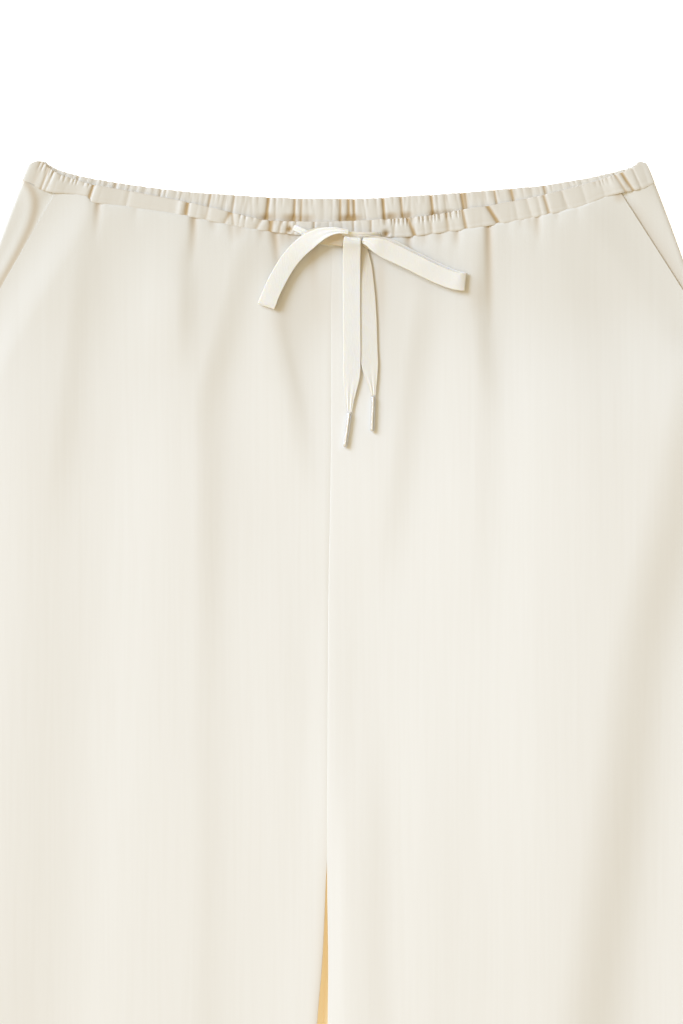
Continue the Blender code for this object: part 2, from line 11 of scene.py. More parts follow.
import bmesh
import bpy
import numpy as np
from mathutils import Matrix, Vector


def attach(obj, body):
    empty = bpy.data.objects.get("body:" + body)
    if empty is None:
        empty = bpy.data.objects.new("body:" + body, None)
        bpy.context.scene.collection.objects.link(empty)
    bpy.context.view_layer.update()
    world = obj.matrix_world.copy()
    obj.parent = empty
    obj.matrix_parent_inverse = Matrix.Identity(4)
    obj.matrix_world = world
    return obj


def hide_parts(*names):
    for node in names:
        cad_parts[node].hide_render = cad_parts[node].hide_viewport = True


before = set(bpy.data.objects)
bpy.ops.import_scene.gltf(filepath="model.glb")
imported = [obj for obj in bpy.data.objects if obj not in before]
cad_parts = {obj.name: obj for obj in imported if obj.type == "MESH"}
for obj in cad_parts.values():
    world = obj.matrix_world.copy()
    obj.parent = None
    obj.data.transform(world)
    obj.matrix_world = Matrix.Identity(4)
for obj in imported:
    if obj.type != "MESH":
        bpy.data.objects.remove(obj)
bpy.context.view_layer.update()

MM = 0.001

# Driving sizes of the garment
LENGTH = 1065.0
HEM_HALF = 316.0
HEM_DIP = 3.0
CAD_WALL = 1.2
SHOWN_WALL = 0.8
SEAM_GAP = 0.3
BACK_BAND_HEIGHT = 15.5
CASING_EASE = 6.0
BAND_WALL = 2.5
WAIST_HALF = 182.0
FRONT_BAND_LOW = BAND_WALL + SEAM_GAP
CROTCH_DOWN = 352.0
LEGS_PART_DOWN = 410.0
BACKS_PART_DOWN = 560.0
HEM_TURN = 25.0

# Heights above the surface that the garment lies on
BACK_TOP = CAD_WALL
FRONT_EDGE = BACK_TOP + SEAM_GAP + 0.6
FRONT_LOW = BACK_TOP + SEAM_GAP + CAD_WALL + 0.5
FRONT_OVER_POCKET = FRONT_LOW + 0.9
FACING_TOP = BACK_TOP + SEAM_GAP + CAD_WALL + 0.2

# The photo's frame, and the place in it where the waist's middle and top lie
PHOTO_WIDE = 683
PHOTO_TALL = 1024
WAIST_MIDDLE_PX = 338.0
WAIST_TOP_PX = 160.0
MM_PER_PX = 0.585

# Camera and floor, in metres: at SCALE_HEIGHT the picture has the photo's scale
CAMERA_HEIGHT = 2.6
SCALE_HEIGHT = 0.005
SENSOR_MM = 24.0
FLOOR_SIZE = 6.0
FLOOR_HEIGHT = -0.0004

Side = namedtuple("Side", "down half_width")
SIDES = (
    Side(0, 179.6),
    Side(5, 182.2),
    Side(12, 185),
    Side(22, 188.9),
    Side(54, 200.7),
    Side(100, 216),
    Side(150, 231.5),
    Side(200, 245.5),
    Side(260, 260),
    Side(330, 273.5),
    Side(400, 284),
    Side(500, 294),
    Side(700, 305),
    Side(LENGTH, HEM_HALF),
)

# Edges of the gathered waist: the back band's top, and the front band's top and seam
Waist = namedtuple("Waist", "across back_top front_top front_seam")
WAIST = (
    Waist(-182, 1.8, 2, 11),
    Waist(-178.5, 0.2, 0.6, 13.2),
    Waist(-174, 0.4, 1, 15.2),
    Waist(-170, 2.6, 3.6, 17),
    Waist(-161, 6.1, 8.3, 19.2),
    Waist(-152, 8.4, 11, 19.8),
    Waist(-142.4, 10.4, 13.8, 21),
    Waist(-138, 11.1, 14.6, 24.6),
    Waist(-118, 14.2, 18.1, 27.4),
    Waist(-84, 18.3, 24.6, 32.8),
    Waist(-60, 20, 30.2, 38),
    Waist(-38, 21.4, 34.9, 41.8),
    Waist(-13, 22.2, 36, 44.6),
    Waist(12, 22.2, 35.2, 45.4),
    Waist(36, 20.8, 33.6, 45),
    Waist(54, 19.8, 31.5, 42.8),
    Waist(70, 18.7, 28.6, 40.6),
    Waist(86, 17.3, 26.2, 37.8),
    Waist(115, 14.8, 20.5, 32.2),
    Waist(138, 11.2, 15, 26.6),
    Waist(147.4, 9.6, 12.4, 22.8),
    Waist(154.7, 8, 10.2, 20.6),
    Waist(162, 6.3, 8, 19),
    Waist(173, 3.4, 4.2, 16.9),
    Waist(176.7, 1.4, 2, 15.6),
    Waist(179, 0.4, 0.9, 14.4),
    Waist(182, 1.6, 1.8, 13.2),
)

# The centre seam, and below the crotch the inner edges of the two front legs
Inner = namedtuple("Inner", "down left right")
INNER = (
    Inner(40, -4.25, -3.95),
    Inner(155, -4.25, -3.95),
    Inner(266, -5.95, -5.65),
    Inner(CROTCH_DOWN, -6.45, -6.15),
    Inner(LEGS_PART_DOWN, -6.65, -6.35),
    Inner(430, -7.35, -6.25),
    Inner(445, -7.9, -6),
    Inner(470, -9.2, -5.7),
    Inner(505, -12.1, -6),
    Inner(640, -18, -6),
    Inner(LENGTH, -24, 14),
)

# Slanted pocket openings, left and right: where they leave the waist seam, their slope
# and their end
Pocket = namedtuple("Pocket", "top_across top_down slope end_down")
POCKETS = (
    Pocket(165.5, 19, 0.575, 119),
    Pocket(165.5, 19, 0.64, 99),
)
FACING_UNDERLAP = 15.0

# Long soft folds. Each ridge runs down through three places, rises steeply on one
# flank and gently on the other, and fades in below 'start' and out above 'stop'
Fold = namedtuple("Fold", "start a_down a_x b_down b_x c_down c_x stop left right high")
FOLDS = (
    Fold(26, 58, -155, 100, -160, 160, -168, 240, 48, 9, 1.5),
    Fold(30, 35, -88, 58, -94, 100, -95, 130, 14, 6, 1.8),
    Fold(26, 82, -69, 140, -84, 491, -86, 330, 50, 9, 1.2),
    Fold(26, 82, -69, 140, -84, 491, -86, 900, 60, 10, 1.2),
    Fold(60, 82, -84, 280, -104, 491, -121, 1000, 20, 60, 1.3),
    Fold(36, 64, -46, 100, -39, 160, -28, 215, 14, 7, 1.6),
    Fold(34, 50, -34, 80, -32, 120, -31, 130, 8, 11, 1.1),
    Fold(70, 86, -36, 108, -33, 150, -23, 172, 10, 2.6, 0.4),
    Fold(40, 60, 8, 100, 8, 140, 8, 170, 10, 16, 1.2),
    Fold(50, 82, 43, 140, 34, 234, 22, 270, 26, 9, 2),
    Fold(32, 58, 79, 82, 76, 117, 80, 170, 16, 7, 1.5),
    Fold(36, 58, 79, 140, 79, 234, 77, 300, 26, 9, 1.5),
    Fold(36, 64, 116, 140, 120, 330, 122, 700, 16, 30, 1.2),
    Fold(34, 58, 125, 100, 135, 187, 143, 300, 30, 14, 1.3),
    Fold(110, 187, 181, 287, 157, 491, 128, 1000, 85, 20, 8.4),
    Fold(250, 316, 232, 400, 225, 491, 218, 1000, 26, 24, 2),
    Fold(120, 164, -190, 316, -198, 491, -209, 1000, 30, 28, 3.6),
    Fold(240, 300, -33, 340, -32, 400, -34, 460, 16, 8, 0.5),
    Fold(250, 300, -3, 351, -3, 420, -6, 440, 9, 9, 0.6),
    Fold(330, 400, 14, 491, 15, 700, 20, 900, 24, 9, 1.5),
    Fold(330, 420, 50, 491, 50, 900, 60, 1200, 16, 14, 1),
    Fold(370, 470, 5, 560, 5, 900, 10, 1200, 6, 12, 1.1),
    Fold(560, 640, -150, 800, -172, 1065, -196, 1300, 22, 14, 1.8),
    Fold(520, 640, 236, 800, 250, 1065, 262, 1300, 16, 26, 1.9),
    Fold(600, 700, 170, 860, 176, 1065, 188, 1300, 26, 13, 2),
    Fold(640, 720, -70, 880, -74, 1065, -60, 1300, 15, 20, 1.5),
)
FOLD_FADE = 60.0
FOLD_LIMIT = 10.0

# Creases of the gathered casing, listed one by one: depth and half width in the band, how
# far the top lies to the right of the foot, and how far the crease runs down the cloth
# and drifts sideways there for each millimetre of the way
Crease = namedtuple("Crease", "across depth wide slant run drift", defaults=(0.6, 0, 0, 0))
FRONT_CREASES = (
    Crease(-175, 0.7, 2, 0.8, 4),
    Crease(-169.4, 1, 0.7, 0.3, 5),
    Crease(-166.6, 0.8, 0.6, 1, 4),
    Crease(-140.4, 1.6, 0.7, 0.5, 36, -0.08),
    Crease(-118.5, 0.6, 0.9, 0, 22, 0.04),
    Crease(-84, 1.7, 0.8, 0, 48, -0.06),
    Crease(-73, 0.6, 0.9, 1, 16, 0.1),
    Crease(-62.5, 1, 0.9, 2.5, 24, 0.06),
    Crease(-57, 0.9, 0.8, -1.5, 15, -0.1),
    Crease(-45, 0.7, 0.9, 3, 18, 0.05),
    Crease(-37, 1.7, 0.9, 0.6, 74, 0.09),
    Crease(-32, 0.9, 0.6, 0.8, 18, 0.05),
    Crease(-28, 1, 0.6, 0.8, 13),
    Crease(-24, 0.9, 0.6, 1, 12),
    Crease(-13, 1.2, 0.5, 0, 12),
    Crease(-5, 0.6, 0.6, 0, 10),
    Crease(8.5, 1.1, 0.5, 0, 10),
    Crease(18, 0.8, 0.6, 0, 12),
    Crease(30, 0.8, 0.7, 1, 16, 0.05),
    Crease(41.5, 1.6, 0.8, -3.2, 28, 0.06),
    Crease(51, 0.7, 0.8, 0, 18),
    Crease(60, 0.7, 0.9, 0, 20),
    Crease(69.8, 1.2, 0.8, -0.6, 24, -0.04),
    Crease(88, 1.9, 0.9, -4.6, 110, 0.02),
    Crease(99, 0.5, 1, 0, 20, 0.1),
    Crease(107, 0.7, 0.9, -1, 16, 0.1),
    Crease(112.5, 0.6, 0.7, 0, 16, 0.05),
    Crease(116.8, 1.3, 0.8, -0.6, 30, 0.02),
    Crease(128, 0.7, 0.9, -1, 16, 0.12),
    Crease(139.5, 0.5, 1, -0.5, 24, 0.15),
    Crease(151, 0.4, 1, 0, 14, 0.1),
    Crease(163.5, 1.1, 0.7, -3, 12, 0.1),
    Crease(168, 1.4, 0.7, -3.5, 10, 0.1),
    Crease(173, 0.7, 0.6, -1, 8, 0.1),
)
BACK_CREASES = (
    Crease(-150, 0.9),
    Crease(-128, 0.9, 0.6, 0.5),
    Crease(-101, 0.9, 0.6, 0.5),
    Crease(-73, 1.1, 0.6, 1),
    Crease(-59, 1, 0.6, 0.5),
    Crease(-39.5, 1.4, 0.7, 0.3),
    Crease(-24.2, 1.4),
    Crease(-20.5, 0.9, 0.5),
    Crease(1.2, 1.2),
    Crease(6, 1.6, 0.7),
    Crease(9, 1.6),
    Crease(25.8, 1.5, 0.6, -0.6),
    Crease(35.6, 1.4),
    Crease(52.6, 1.5, 0.6, 0.3),
    Crease(70, 1.3),
    Crease(72, 0.8, 0.5),
    Crease(89, 1.3),
    Crease(98.7, 1.2),
    Crease(117.6, 1),
    Crease(160, 1, 0.6, 0.5),
)

# A crease's share in the casing's own form, and the most that creases add up to
CREASE_SHARE = 0.62
DEEPEST_CREASE = 1.9

# Places at the foot of the back band where the casing is drawn in under the front one, with painted shade
# there
Tuck = namedtuple("Tuck", "across depth wide")
BACK_TUCKS = (
    Tuck(-73, 0.7, 2.5),
    Tuck(-39, 1, 3),
    Tuck(-25, 1.2, 3.2),
    Tuck(-16, 0.7, 2.5),
    Tuck(7, 1.5, 4),
    Tuck(29.5, 1.3, 2.6),
    Tuck(38.5, 1.2, 2),
    Tuck(54, 1.1, 2),
    Tuck(61, 0.8, 3),
    Tuck(89, 0.6, 2),
)

# Places on the fronts where the warm shade under the bow is painted into the colour
Shade = namedtuple("Shade", "across down wide tall amount")
BOW_SHADES = (
    Shade(-14.8, 58, 2, 10, 0.2),
    Shade(-7, 54, 7, 9, 0.03),
    Shade(-11, 82, 9, 13, 0.1),
    Shade(-33, 92, 5, 8, 0.1),
    Shade(25, 70, 2.6, 22, 0.2),
    Shade(48, 69, 10, 5, 0.06),
    Shade(82, 78, 5, 7, 0.12),
)

# Stretches of a band's top edge that are drawn up into a fine frill, tinted with painted shade
Frill = namedtuple("Frill", "start stop pitch high")
FRONT_FRILLS = (
    Frill(-178, -140, 3.1, 0.45),
    Frill(-60, -28, 4.2, 0.35),
    Frill(24, 68, 2.6, 0.8),
    Frill(146, 160, 3, 0.35),
)
BACK_FRILLS = (Frill(-186, 186, 4.4, 0.25),)

# How strongly each stretch of the waist is gathered
Pull = namedtuple("Pull", "across front back")
PULLS = (
    Pull(-182, 0.1, 0.2),
    Pull(-172, 0.25, 0.6),
    Pull(-164, 0.5, 0.9),
    Pull(-150, 0.14, 0.8),
    Pull(-138, 0.5, 0.8),
    Pull(-122, 0.12, 0.8),
    Pull(-92, 0.12, 0.9),
    Pull(-84, 0.9, 0.95),
    Pull(-62, 0.6, 1),
    Pull(-40, 0.7, 1),
    Pull(0, 0.95, 1),
    Pull(50, 0.8, 1),
    Pull(76, 0.55, 0.9),
    Pull(94, 0.2, 0.9),
    Pull(104, 0.18, 0.9),
    Pull(117, 0.45, 0.8),
    Pull(130, 0.14, 0.8),
    Pull(152, 0.1, 0.8),
    Pull(164, 0.9, 0.9),
    Pull(174, 0.4, 0.6),
    Pull(182, 0.1, 0.2),
)

# Faint lengthwise creases of each back leg
Line = namedtuple("Line", "across lean high wide")
BACK_LINES = (
    Line(120, 0.03, 0.25, 9),
    Line(60, -0.02, 0.22, 7),
    Line(190, 0.05, 0.2, 12),
)

# Worked slits in the front band that the drawstring comes out of, sunk in and darkened with painted shade
Slit = namedtuple("Slit", "across v half_wide half_v")
SLITS = (
    Slit(-26, 0.62, 1, 0.24),
    Slit(26.2, 0.8, 1.2, 0.2),
)

# Drawstring routes: 'lift' is the ribbon's middle over the cloth, 'wide' is less than its
# full width where it is gathered and 'roll' turns it, in degrees, about its own length
RIBBON_WIDTH = 10.0
RIBBON_SHOWN = 1.04
RIBBON_WALL = 0.4
ROUTE_STEPS = 8
Run = namedtuple("Run", "across down lift wide roll", defaults=(RIBBON_WIDTH, 0))
LOOP_LEFT = (
    Run(3.6, 46.4, 2.4, 8.6),
    Run(-4, 45, 2.6, 9.4),
    Run(-11.5, 44.6, 2.7, 9.6),
    Run(-18.6, 48.2, 2.4, 9.4),
    Run(-25.8, 55.8, 1.6, 9.2),
    Run(-32.2, 64.8, 0.9, 9.2),
    Run(-38, 75.2, 0.9, 9.4),
    Run(-41, 82.6, 1.1, 9.8),
    Run(-42, 85.8, 2.1),
    Run(-41, 83.4, 3.2),
    Run(-37.6, 75, 3.4),
    Run(-31, 62.8, 3.8),
    Run(-24.4, 54.2, 4.6),
    Run(-17, 47.9, 5.3, 9.6, -4),
    Run(-10.4, 44, 5.8, 7.6, -12),
    Run(-4.4, 42.2, 6, 5.2, -22),
    Run(1.2, 41.8, 5.9, 3.6, -30),
    Run(6, 42.6, 5.4, 3.2, -30),
)
LOOP_RIGHT = (
    Run(14.6, 47.8, 2.8, 4.4),
    Run(21.6, 49.2, 2.9, 9),
    Run(31, 51.6, 2.6),
    Run(41, 56.4, 1.5, 9.4),
    Run(52, 61.8, 1, 9.2),
    Run(63, 67, 0.9, 9.2),
    Run(70.5, 70.2, 1.1, 9.6),
    Run(74.4, 71.4, 2.2),
    Run(71, 71.4, 3.4),
    Run(64.5, 69.8, 3.6),
    Run(55, 65.8, 4),
    Run(45.6, 61.1, 4.6),
    Run(36, 56.4, 5.2, 10.2),
    Run(28.2, 52.8, 5.7, 10.4),
    Run(22.4, 50.2, 6.3, 8.6),
    Run(17.6, 48.3, 5.9, 4.8),
    Run(14.2, 47.4, 5.2, 2.6),
)
TAIL_LEFT = (
    Run(8.5, 45.6, 4.6, 9),
    Run(8.4, 46.6, 6, 9.6),
    Run(8.2, 49, 6.2, 9.9),
    Run(8.1, 53, 4.6),
    Run(8, 58, 3.2),
    Run(8, 68, 1.7),
    Run(8, 82, 1.5),
    Run(8.1, 98, 1.5),
    Run(8.2, 114, 1.5),
    Run(8, 125.5, 1.5, 9.9),
    Run(7.4, 133, 1.7, 7.8),
    Run(6.9, 140.5, 1.6, 4.8),
    Run(6.7, 147.8, 1.6, 2.4),
)
TAIL_RIGHT = (
    Run(12.6, 48.6, 1.6, 5),
    Run(13.6, 55, 1.1, 8.8),
    Run(15, 64, 0.8),
    Run(16.6, 79, 0.8),
    Run(17.6, 94, 0.8),
    Run(18, 108, 0.8),
    Run(18.6, 119, 1, 9.8),
    Run(19.4, 126.5, 1.3, 7.4),
    Run(20.2, 132.5, 1.5, 4.4),
    Run(20.7, 137.9, 1.6, 2.4),
)
LEAD_LEFT = (
    Run(-26, 39.4, 0.4, 3),
    Run(-21, 41.8, 1.3, 3.6),
    Run(-14, 45.6, 1.2, 4.6),
    Run(-6, 47.6, 0.9, 5.6),
    Run(3.3, 48, 0.9, 5),
)
LEAD_RIGHT = (
    Run(25, 43.6, 0.2, 2.6, 30),
    Run(20.6, 43.8, 1.6, 3, 30),
    Run(14, 44, 2.4, 3.6, 20),
    Run(7, 43.9, 2.8, 3.8, 20),
    Run(2.5, 44.6, 2.4, 3.4, 20),
)

KNOT_ACROSS = 9.4
KNOT_DOWN = 48.4
KNOT_WIDE = 7.8
KNOT_TALL = 5.6
KNOT_HIGH = 5.6

Aglet = namedtuple("Aglet", "node name top_across top_down foot_across foot_down")
AGLETS = (
    Aglet("aglet_left", "metal_tip_left", 6.7, 148.4, 4.0, 168.0),
    Aglet("aglet_right", "metal_tip_right", 20.7, 138.5, 19.9, 158.9),
)
AGLET_DIAMETER = 2.6

# A tip's outline: shares of its length from the mouth, and of its radius there
AGLET_OUTLINE = (
    (0.0, 0.55), (0.0, 0.86), (0.012, 0.97), (0.03, 1.0), (0.06, 1.0), (0.07, 0.93),
    (0.085, 0.93), (0.095, 1.0), (0.11, 1.0), (0.5, 1.0), (0.90, 1.0), (0.93, 1.0),
    (0.965, 0.95), (0.988, 0.8), (1.0, 0.5), (1.0, 0.12),
)

# Rows and columns of the sheets, and how often a panel reads its seam's place
FRONT_ROWS = 208
FRONT_COLUMNS = 206
BACK_ROWS = 120
BACK_COLUMNS = 60
FACING_ROWS = 70
FACING_COLUMNS = 24
BAND_COLUMNS = 1150
SEAM_READINGS = 7

# A first guess of where a panel's grid lies, across and down
LEG_GUESS = (90.0, 30.0)
FACING_GUESS = (170.0, 15.0)

# Flat size in metres and area in square metres of the cut that shows
Cut = namedtuple("Cut", "flat area")

# Materials' colours, linear
IVORY = (0.846, 0.825, 0.776)
IVORY_SHADE = (0.830, 0.806, 0.753)
# Painted light: the back legs' inside faces are tan and glow warm, standing in for light bounced into the
# leg gap
INSIDE = (0.75, 0.63, 0.44)
INSIDE_SHADE = (0.73, 0.60, 0.41)
PAINTED_GLOW_COLOUR = (1.0, 0.75, 0.37)
INSIDE_PAINTED_GLOW = 0.38
RIBBON_IVORY = (0.905, 0.868, 0.80)
RIBBON_SHADE = (0.885, 0.848, 0.77)
METAL_PALE = (0.90, 0.92, 0.98)
# Painted shade: the warm tan mixed in where creases, the bow and the leg gap hold shade
PAINTED_SHADE_TAN = (0.54, 0.37, 0.17)

# Painted shade: the satin is darker towards the waist and slightly darker down the legs;
# the tone, and the model's Y in metres where it starts and where it is whole
WAIST_PAINTED_SHADE = ((0.894, 0.882, 0.850), 0.33, 0.53)
LEG_PAINTED_SHADE = ((0.984, 0.978, 0.970), 0.28, 0.02)


def hermite(t):
    """Weights of a smooth stretch's two ends, then of its slopes there."""
    return (1 + 2 * t) * (1 - t) ** 2, t * t * (3 - 2 * t), t * (1 - t) ** 2, t * t * (t - 1)


def curve(rows, column):
    """A smooth reading of a table's column that never overshoots a row, for whole arrays."""
    keys = np.array([row[0] for row in rows], dtype=float)
    values = np.array([getattr(row, column) for row in rows], dtype=float)
    steps = np.diff(values) / np.diff(keys)
    slopes = np.append(steps, steps[-1])
    before = steps[:-1]
    after = steps[1:]
    same_way = before * after > 0
    both = np.where(same_way, before + after, 1.0)
    slopes[1:-1] = np.where(same_way, 2.0 * before * after / both, 0.0)

    def at(place):
        x = np.clip(np.asarray(place, dtype=float), keys[0], keys[-1])
        i = np.clip(np.searchsorted(keys, x, side="right") - 1, 0, len(keys) - 2)
        width = keys[i + 1] - keys[i]
        a, b, c, d = hermite((x - keys[i]) / width)
        return values[i] * a + values[i + 1] * b + width * (slopes[i] * c + slopes[i + 1] * d)

    return at


half_width = curve(SIDES, "half_width")
waist_back_top = curve(WAIST, "back_top")
waist_front_top = curve(WAIST, "front_top")
waist_front_seam = curve(WAIST, "front_seam")
inner_left = curve(INNER, "left")
inner_right = curve(INNER, "right")
front_pull = curve(PULLS, "front")
back_pull = curve(PULLS, "back")


def smooth_step(low, high, value):
    t = np.clip((value - low) / (high - low), 0.0, 1.0)
    return t * t * (3.0 - 2.0 * t)


def bell(offset, spread):
    return np.exp(-0.5 * (offset / spread) ** 2)


def place(across, down, height):
    """Puts places on the garment into the model's frame, in metres."""
    x = np.asarray(across, dtype=float) * MM
    y = (LENGTH / 2 - np.asarray(down, dtype=float)) * MM
    z = np.asarray(height, dtype=float) * MM
    return np.stack(np.broadcast_arrays(x, y, z), axis=-1)


def band_place(across, down):
    return across * WAIST_HALF / half_width(down)


def front_seam(across, down):
    return waist_front_seam(band_place(across, down))


def back_casing_seam(across):
    """The back casing's seam, no lower than the front's, which it meets at the sides."""
    own = waist_back_top(across) + BACK_BAND_HEIGHT
    front = waist_front_seam(across)
    return front + (own - front) * smooth_step(0.0, CASING_EASE, front - own)


def back_seam(across, down):
    return back_casing_seam(band_place(across, down))


def side_word(side):
    return "left" if side < 0 else "right"


def pocket(side):
    return POCKETS[0] if side < 0 else POCKETS[1]


def opening_edge(side, down):
    row = pocket(side)
    slant = row.top_across + row.slope * (down - row.top_down)
    return np.minimum(slant, half_width(down))


def inner_edge(side, down):
    return inner_left(down) if side < 0 else inner_right(down)


def back_inner_edge(side, down):
    middle = (inner_left(down) + inner_right(down)) / 2
    apart = 0.5 * (inner_right(down) - inner_left(down)) - 3.0
    parted = np.maximum(0.0, apart) * smooth_step(BACKS_PART_DOWN, LENGTH, down)
    return middle + side * (SEAM_GAP / 2 + parted)


def fold_height(row, across, down):
    upper = row.a_x + (row.b_x - row.a_x) * (down - row.a_down) / (row.b_down - row.a_down)
    lower = row.b_x + (row.c_x - row.b_x) * (down - row.b_down) / (row.c_down - row.b_down)
    bend = 0.7 * min(row.b_down - row.a_down, row.c_down - row.b_down)
    turn = smooth_step(row.b_down - bend, row.b_down + bend, down)
    offset = across - (upper * (1 - turn) + lower * turn)
    fade_in = smooth_step(row.start - FOLD_FADE / 2, row.start + FOLD_FADE, down)
    fade_out = 1.0 - smooth_step(row.stop - 0.45 * (row.stop - row.start), row.stop, down)
    spread = np.where(offset < 0, row.left, row.right)
    return row.high * fade_in * fade_out * bell(offset, spread)


def over_pocket(across, down):
    """One where the front lies on a pocket facing, fading to nothing beside it."""
    edge = np.where(across < 0, opening_edge(-1, down), opening_edge(1, down))
    end = np.where(across < 0, POCKETS[0].end_down, POCKETS[1].end_down)
    beside = 1.0 - smooth_step(FACING_UNDERLAP - 4.0, FACING_UNDERLAP + 75.0, edge - np.abs(across))
    return beside * (1.0 - smooth_step(end - 10.0, end + 90.0, down))


def front_height(across, down):
    """Height of the front's outer face, away from its rolled edges and the gathers."""
    total = sum(fold_height(row, across, down) for row in FOLDS)
    folds = FOLD_LIMIT * np.tanh(total / FOLD_LIMIT)
    lift = (FRONT_OVER_POCKET - FRONT_LOW) * over_pocket(across, down)
    return FRONT_LOW + lift + folds


def valley(offset, wide):
    """A crease's section: steep at its bottom and rounded towards its lips."""
    return np.exp(1.0 - np.sqrt(1.0 + (offset / wide) ** 2))


def gathers(placed, pull, seed, count):
    """The listed creases, and the small uneven ones that fill the space between."""
    rng = random.Random(seed)
    rows = list(placed)
    for k in range(count):
        across = -WAIST_HALF + 2 * WAIST_HALF * (k + 0.5 + rng.uniform(-0.40, 0.40)) / count
        depth = float(pull(across)) * rng.uniform(0.05, 0.60)
        wide = rng.uniform(0.4, 1.3)
        slant = rng.uniform(-1.6, 1.6)
        run = 6.0 + 22.0 * depth * rng.uniform(0.3, 1.0)
        rows.append(Crease(across, depth, wide, slant, run, rng.uniform(-0.12, 0.12)))
    return rows


def pucker_depth(across, below, creases):
    """Grooves in the cloth below the band, which its creases run into."""
    depth = np.zeros_like(below)
    near = np.clip(below, 0.0, None)
    for row in creases:
        t = near / row.run
        fade = np.where(t < 1.0, (1.0 - t) ** 2, 0.0)
        spread = (row.wide + 0.5) * (1.0 + 1.5 * np.minimum(t, 1.0))
        depth += 0.62 * row.depth * fade * valley(across - row.across - row.drift * near, spread)
    return depth


def fullness(below):
    """How far the gathers puff the cloth up under the band."""
    near = np.clip(below, 0.0, None)
    return 1.6 * np.exp(-near / 60.0) * (1.0 - np.exp(-near / 7.0)) + 0.45 * np.exp(-near / 9.0)


def cloth_top(across, down):
    """Height of whatever the drawstring lies on: the gathered band, then the front."""
    band_top = FRONT_BAND_LOW + BAND_WALL
    seam = front_seam(across, down)
    near_band = 1.0 - smooth_step(seam + 1.0, seam + 26.0, down)
    panel = front_height(across, down) + fullness(down - seam)
    return panel + np.maximum(0.0, band_top - panel) * near_band


def rolled(edge_height, height, distance, radius):
    """Height near an edge that rolls down like a quarter of an ellipse."""
    t = np.clip(distance / radius, 0.0, 1.0)
    return edge_height + (height - edge_height) * np.sqrt(1.0 - (1.0 - t) ** 2)


def new_object(name, data):
    obj = bpy.data.objects.new(name, data)
    bpy.context.scene.collection.objects.link(obj)
    return obj


def make_object(name, points, faces, finish):
    mesh = bpy.data.meshes.new(name)
    mesh.from_pydata([tuple(p) for p in points], [], faces)
    mesh.validate()
    mesh.update()
    mesh.shade_smooth()
    obj = new_object(name, mesh)
    obj.data.materials.append(finish)
    return obj


def store_painted_shade(obj, amount):
    """Keeps how much painted shade each point takes, for the material to mix in as tan."""
    attribute = obj.data.attributes.new("crease", "FLOAT", "POINT")
    attribute.data.foreach_set("value", np.ascontiguousarray(amount, dtype=np.float32).ravel())


def grid_faces(rows, columns, flip):
    faces = []
    for r in range(rows - 1):
        for c in range(columns - 1):
            a = r * columns + c
            quad = (a, a + 1, a + columns + 1, a + columns)
            faces.append(quad[::-1] if flip else quad)
    return faces


def sheet_object(name, points, finish, wall, offset, flip, beneath=None):
    """A cloth sheet from a rows by columns array of points, given a wall."""
    rows, columns = points.shape[:2]
    faces = grid_faces(rows, columns, flip)
    obj = make_object(name, points.reshape(-1, 3), faces, finish)
    shell = obj.modifiers.new("cloth wall", "SOLIDIFY")
    shell.thickness = wall * MM
    shell.offset = offset
    if beneath is not None:
        obj.data.materials.append(beneath)
        shell.material_offset = 1
    return obj


def ring_object(name, rings, finish, flip=False):
    """A closed body through rings of equal count, capped at both ends."""
    count = rings.shape[1]
    total = rings.shape[0]
    faces = []
    for i in range(total - 1):
        for k in range(count):
            n = (k + 1) % count
            quad = (i * count + k, i * count + n, (i + 1) * count + n, (i + 1) * count + k)
            faces.append(quad[::-1] if flip else quad)
    start = tuple(range(count))
    end = tuple((total - 1) * count + k for k in range(count))
    faces.append(start if flip else start[::-1])
    faces.append(end[::-1] if flip else end)
    return make_object(name, rings.reshape(-1, 3), faces, finish)


def column_weights(roll_steps, between):
    """Weights from one rolled edge to the other, close together where the cloth rolls."""
    angles = np.linspace(0.0, math.pi / 2, roll_steps)
    quarter = 1.0 - np.cos(angles)
    middle = np.arange(1, between + 1) / (between + 1)
    weight = np.concatenate((np.zeros(roll_steps), middle, np.ones(roll_steps)))
    shift = np.concatenate((quarter, 1.0 - 2.0 * middle, -quarter[::-1]))
    return weight, shift


def down_steps(rows, first):
    """Fractions down a leg, 'first' millimetres apart at the waist and wider below."""
    hem_rows = 12
    hem_from = LENGTH - HEM_TURN - 5.0
    k = np.arange(rows - hem_rows, dtype=float)
    rest = (hem_from - first * k[-1]) / k[-1] ** 2
    places = first * k + rest * k * k
    return np.concatenate((places, np.linspace(hem_from, LENGTH, hem_rows + 1)[1:])) / LENGTH


def hem_down(across):
    return LENGTH - HEM_DIP * (np.abs(across) / HEM_HALF - 1.0) ** 2


def lay_out(side, fraction, weight, shift, guess, tuck, top_of, foot_of, edges_of):
    """A panel's grid, from 'tuck' above its seam to its foot and between its two edges.

    The seam is read at the grid's own places, so both are worked out a few times over.
    """
    across = np.full((len(fraction), len(weight)), side * guess[0])
    seam = np.full_like(across, guess[1])
    for _ in range(SEAM_READINGS):
        seam = top_of(across, seam)
        top = seam - tuck
        down = top + (foot_of(across) - top) * fraction
        start, end = edges_of(down)
        across = start + (end - start) * weight + side * shift
    return across, down, seam, start, end


def front_painted_shade(side, across, down, start, grooves):
    """Painted shade on a front: tan in its grooves, in the bow's shade and along the leg gap."""
    tint = np.clip(0.62 * grooves - 0.12, 0.0, 0.65)
    for row in BOW_SHADES:
        tint += row.amount * bell(across - row.across, row.wide) * bell(down - row.down, row.tall)
    if side < 0:
        # Painted warm shade along the left leg's edge where the legs part
        by_gap = np.exp(-np.abs(across - start) / 2.4) * smooth_step(CROTCH_DOWN, 480.0, down)
        tint += 0.38 * by_gap
    return tint


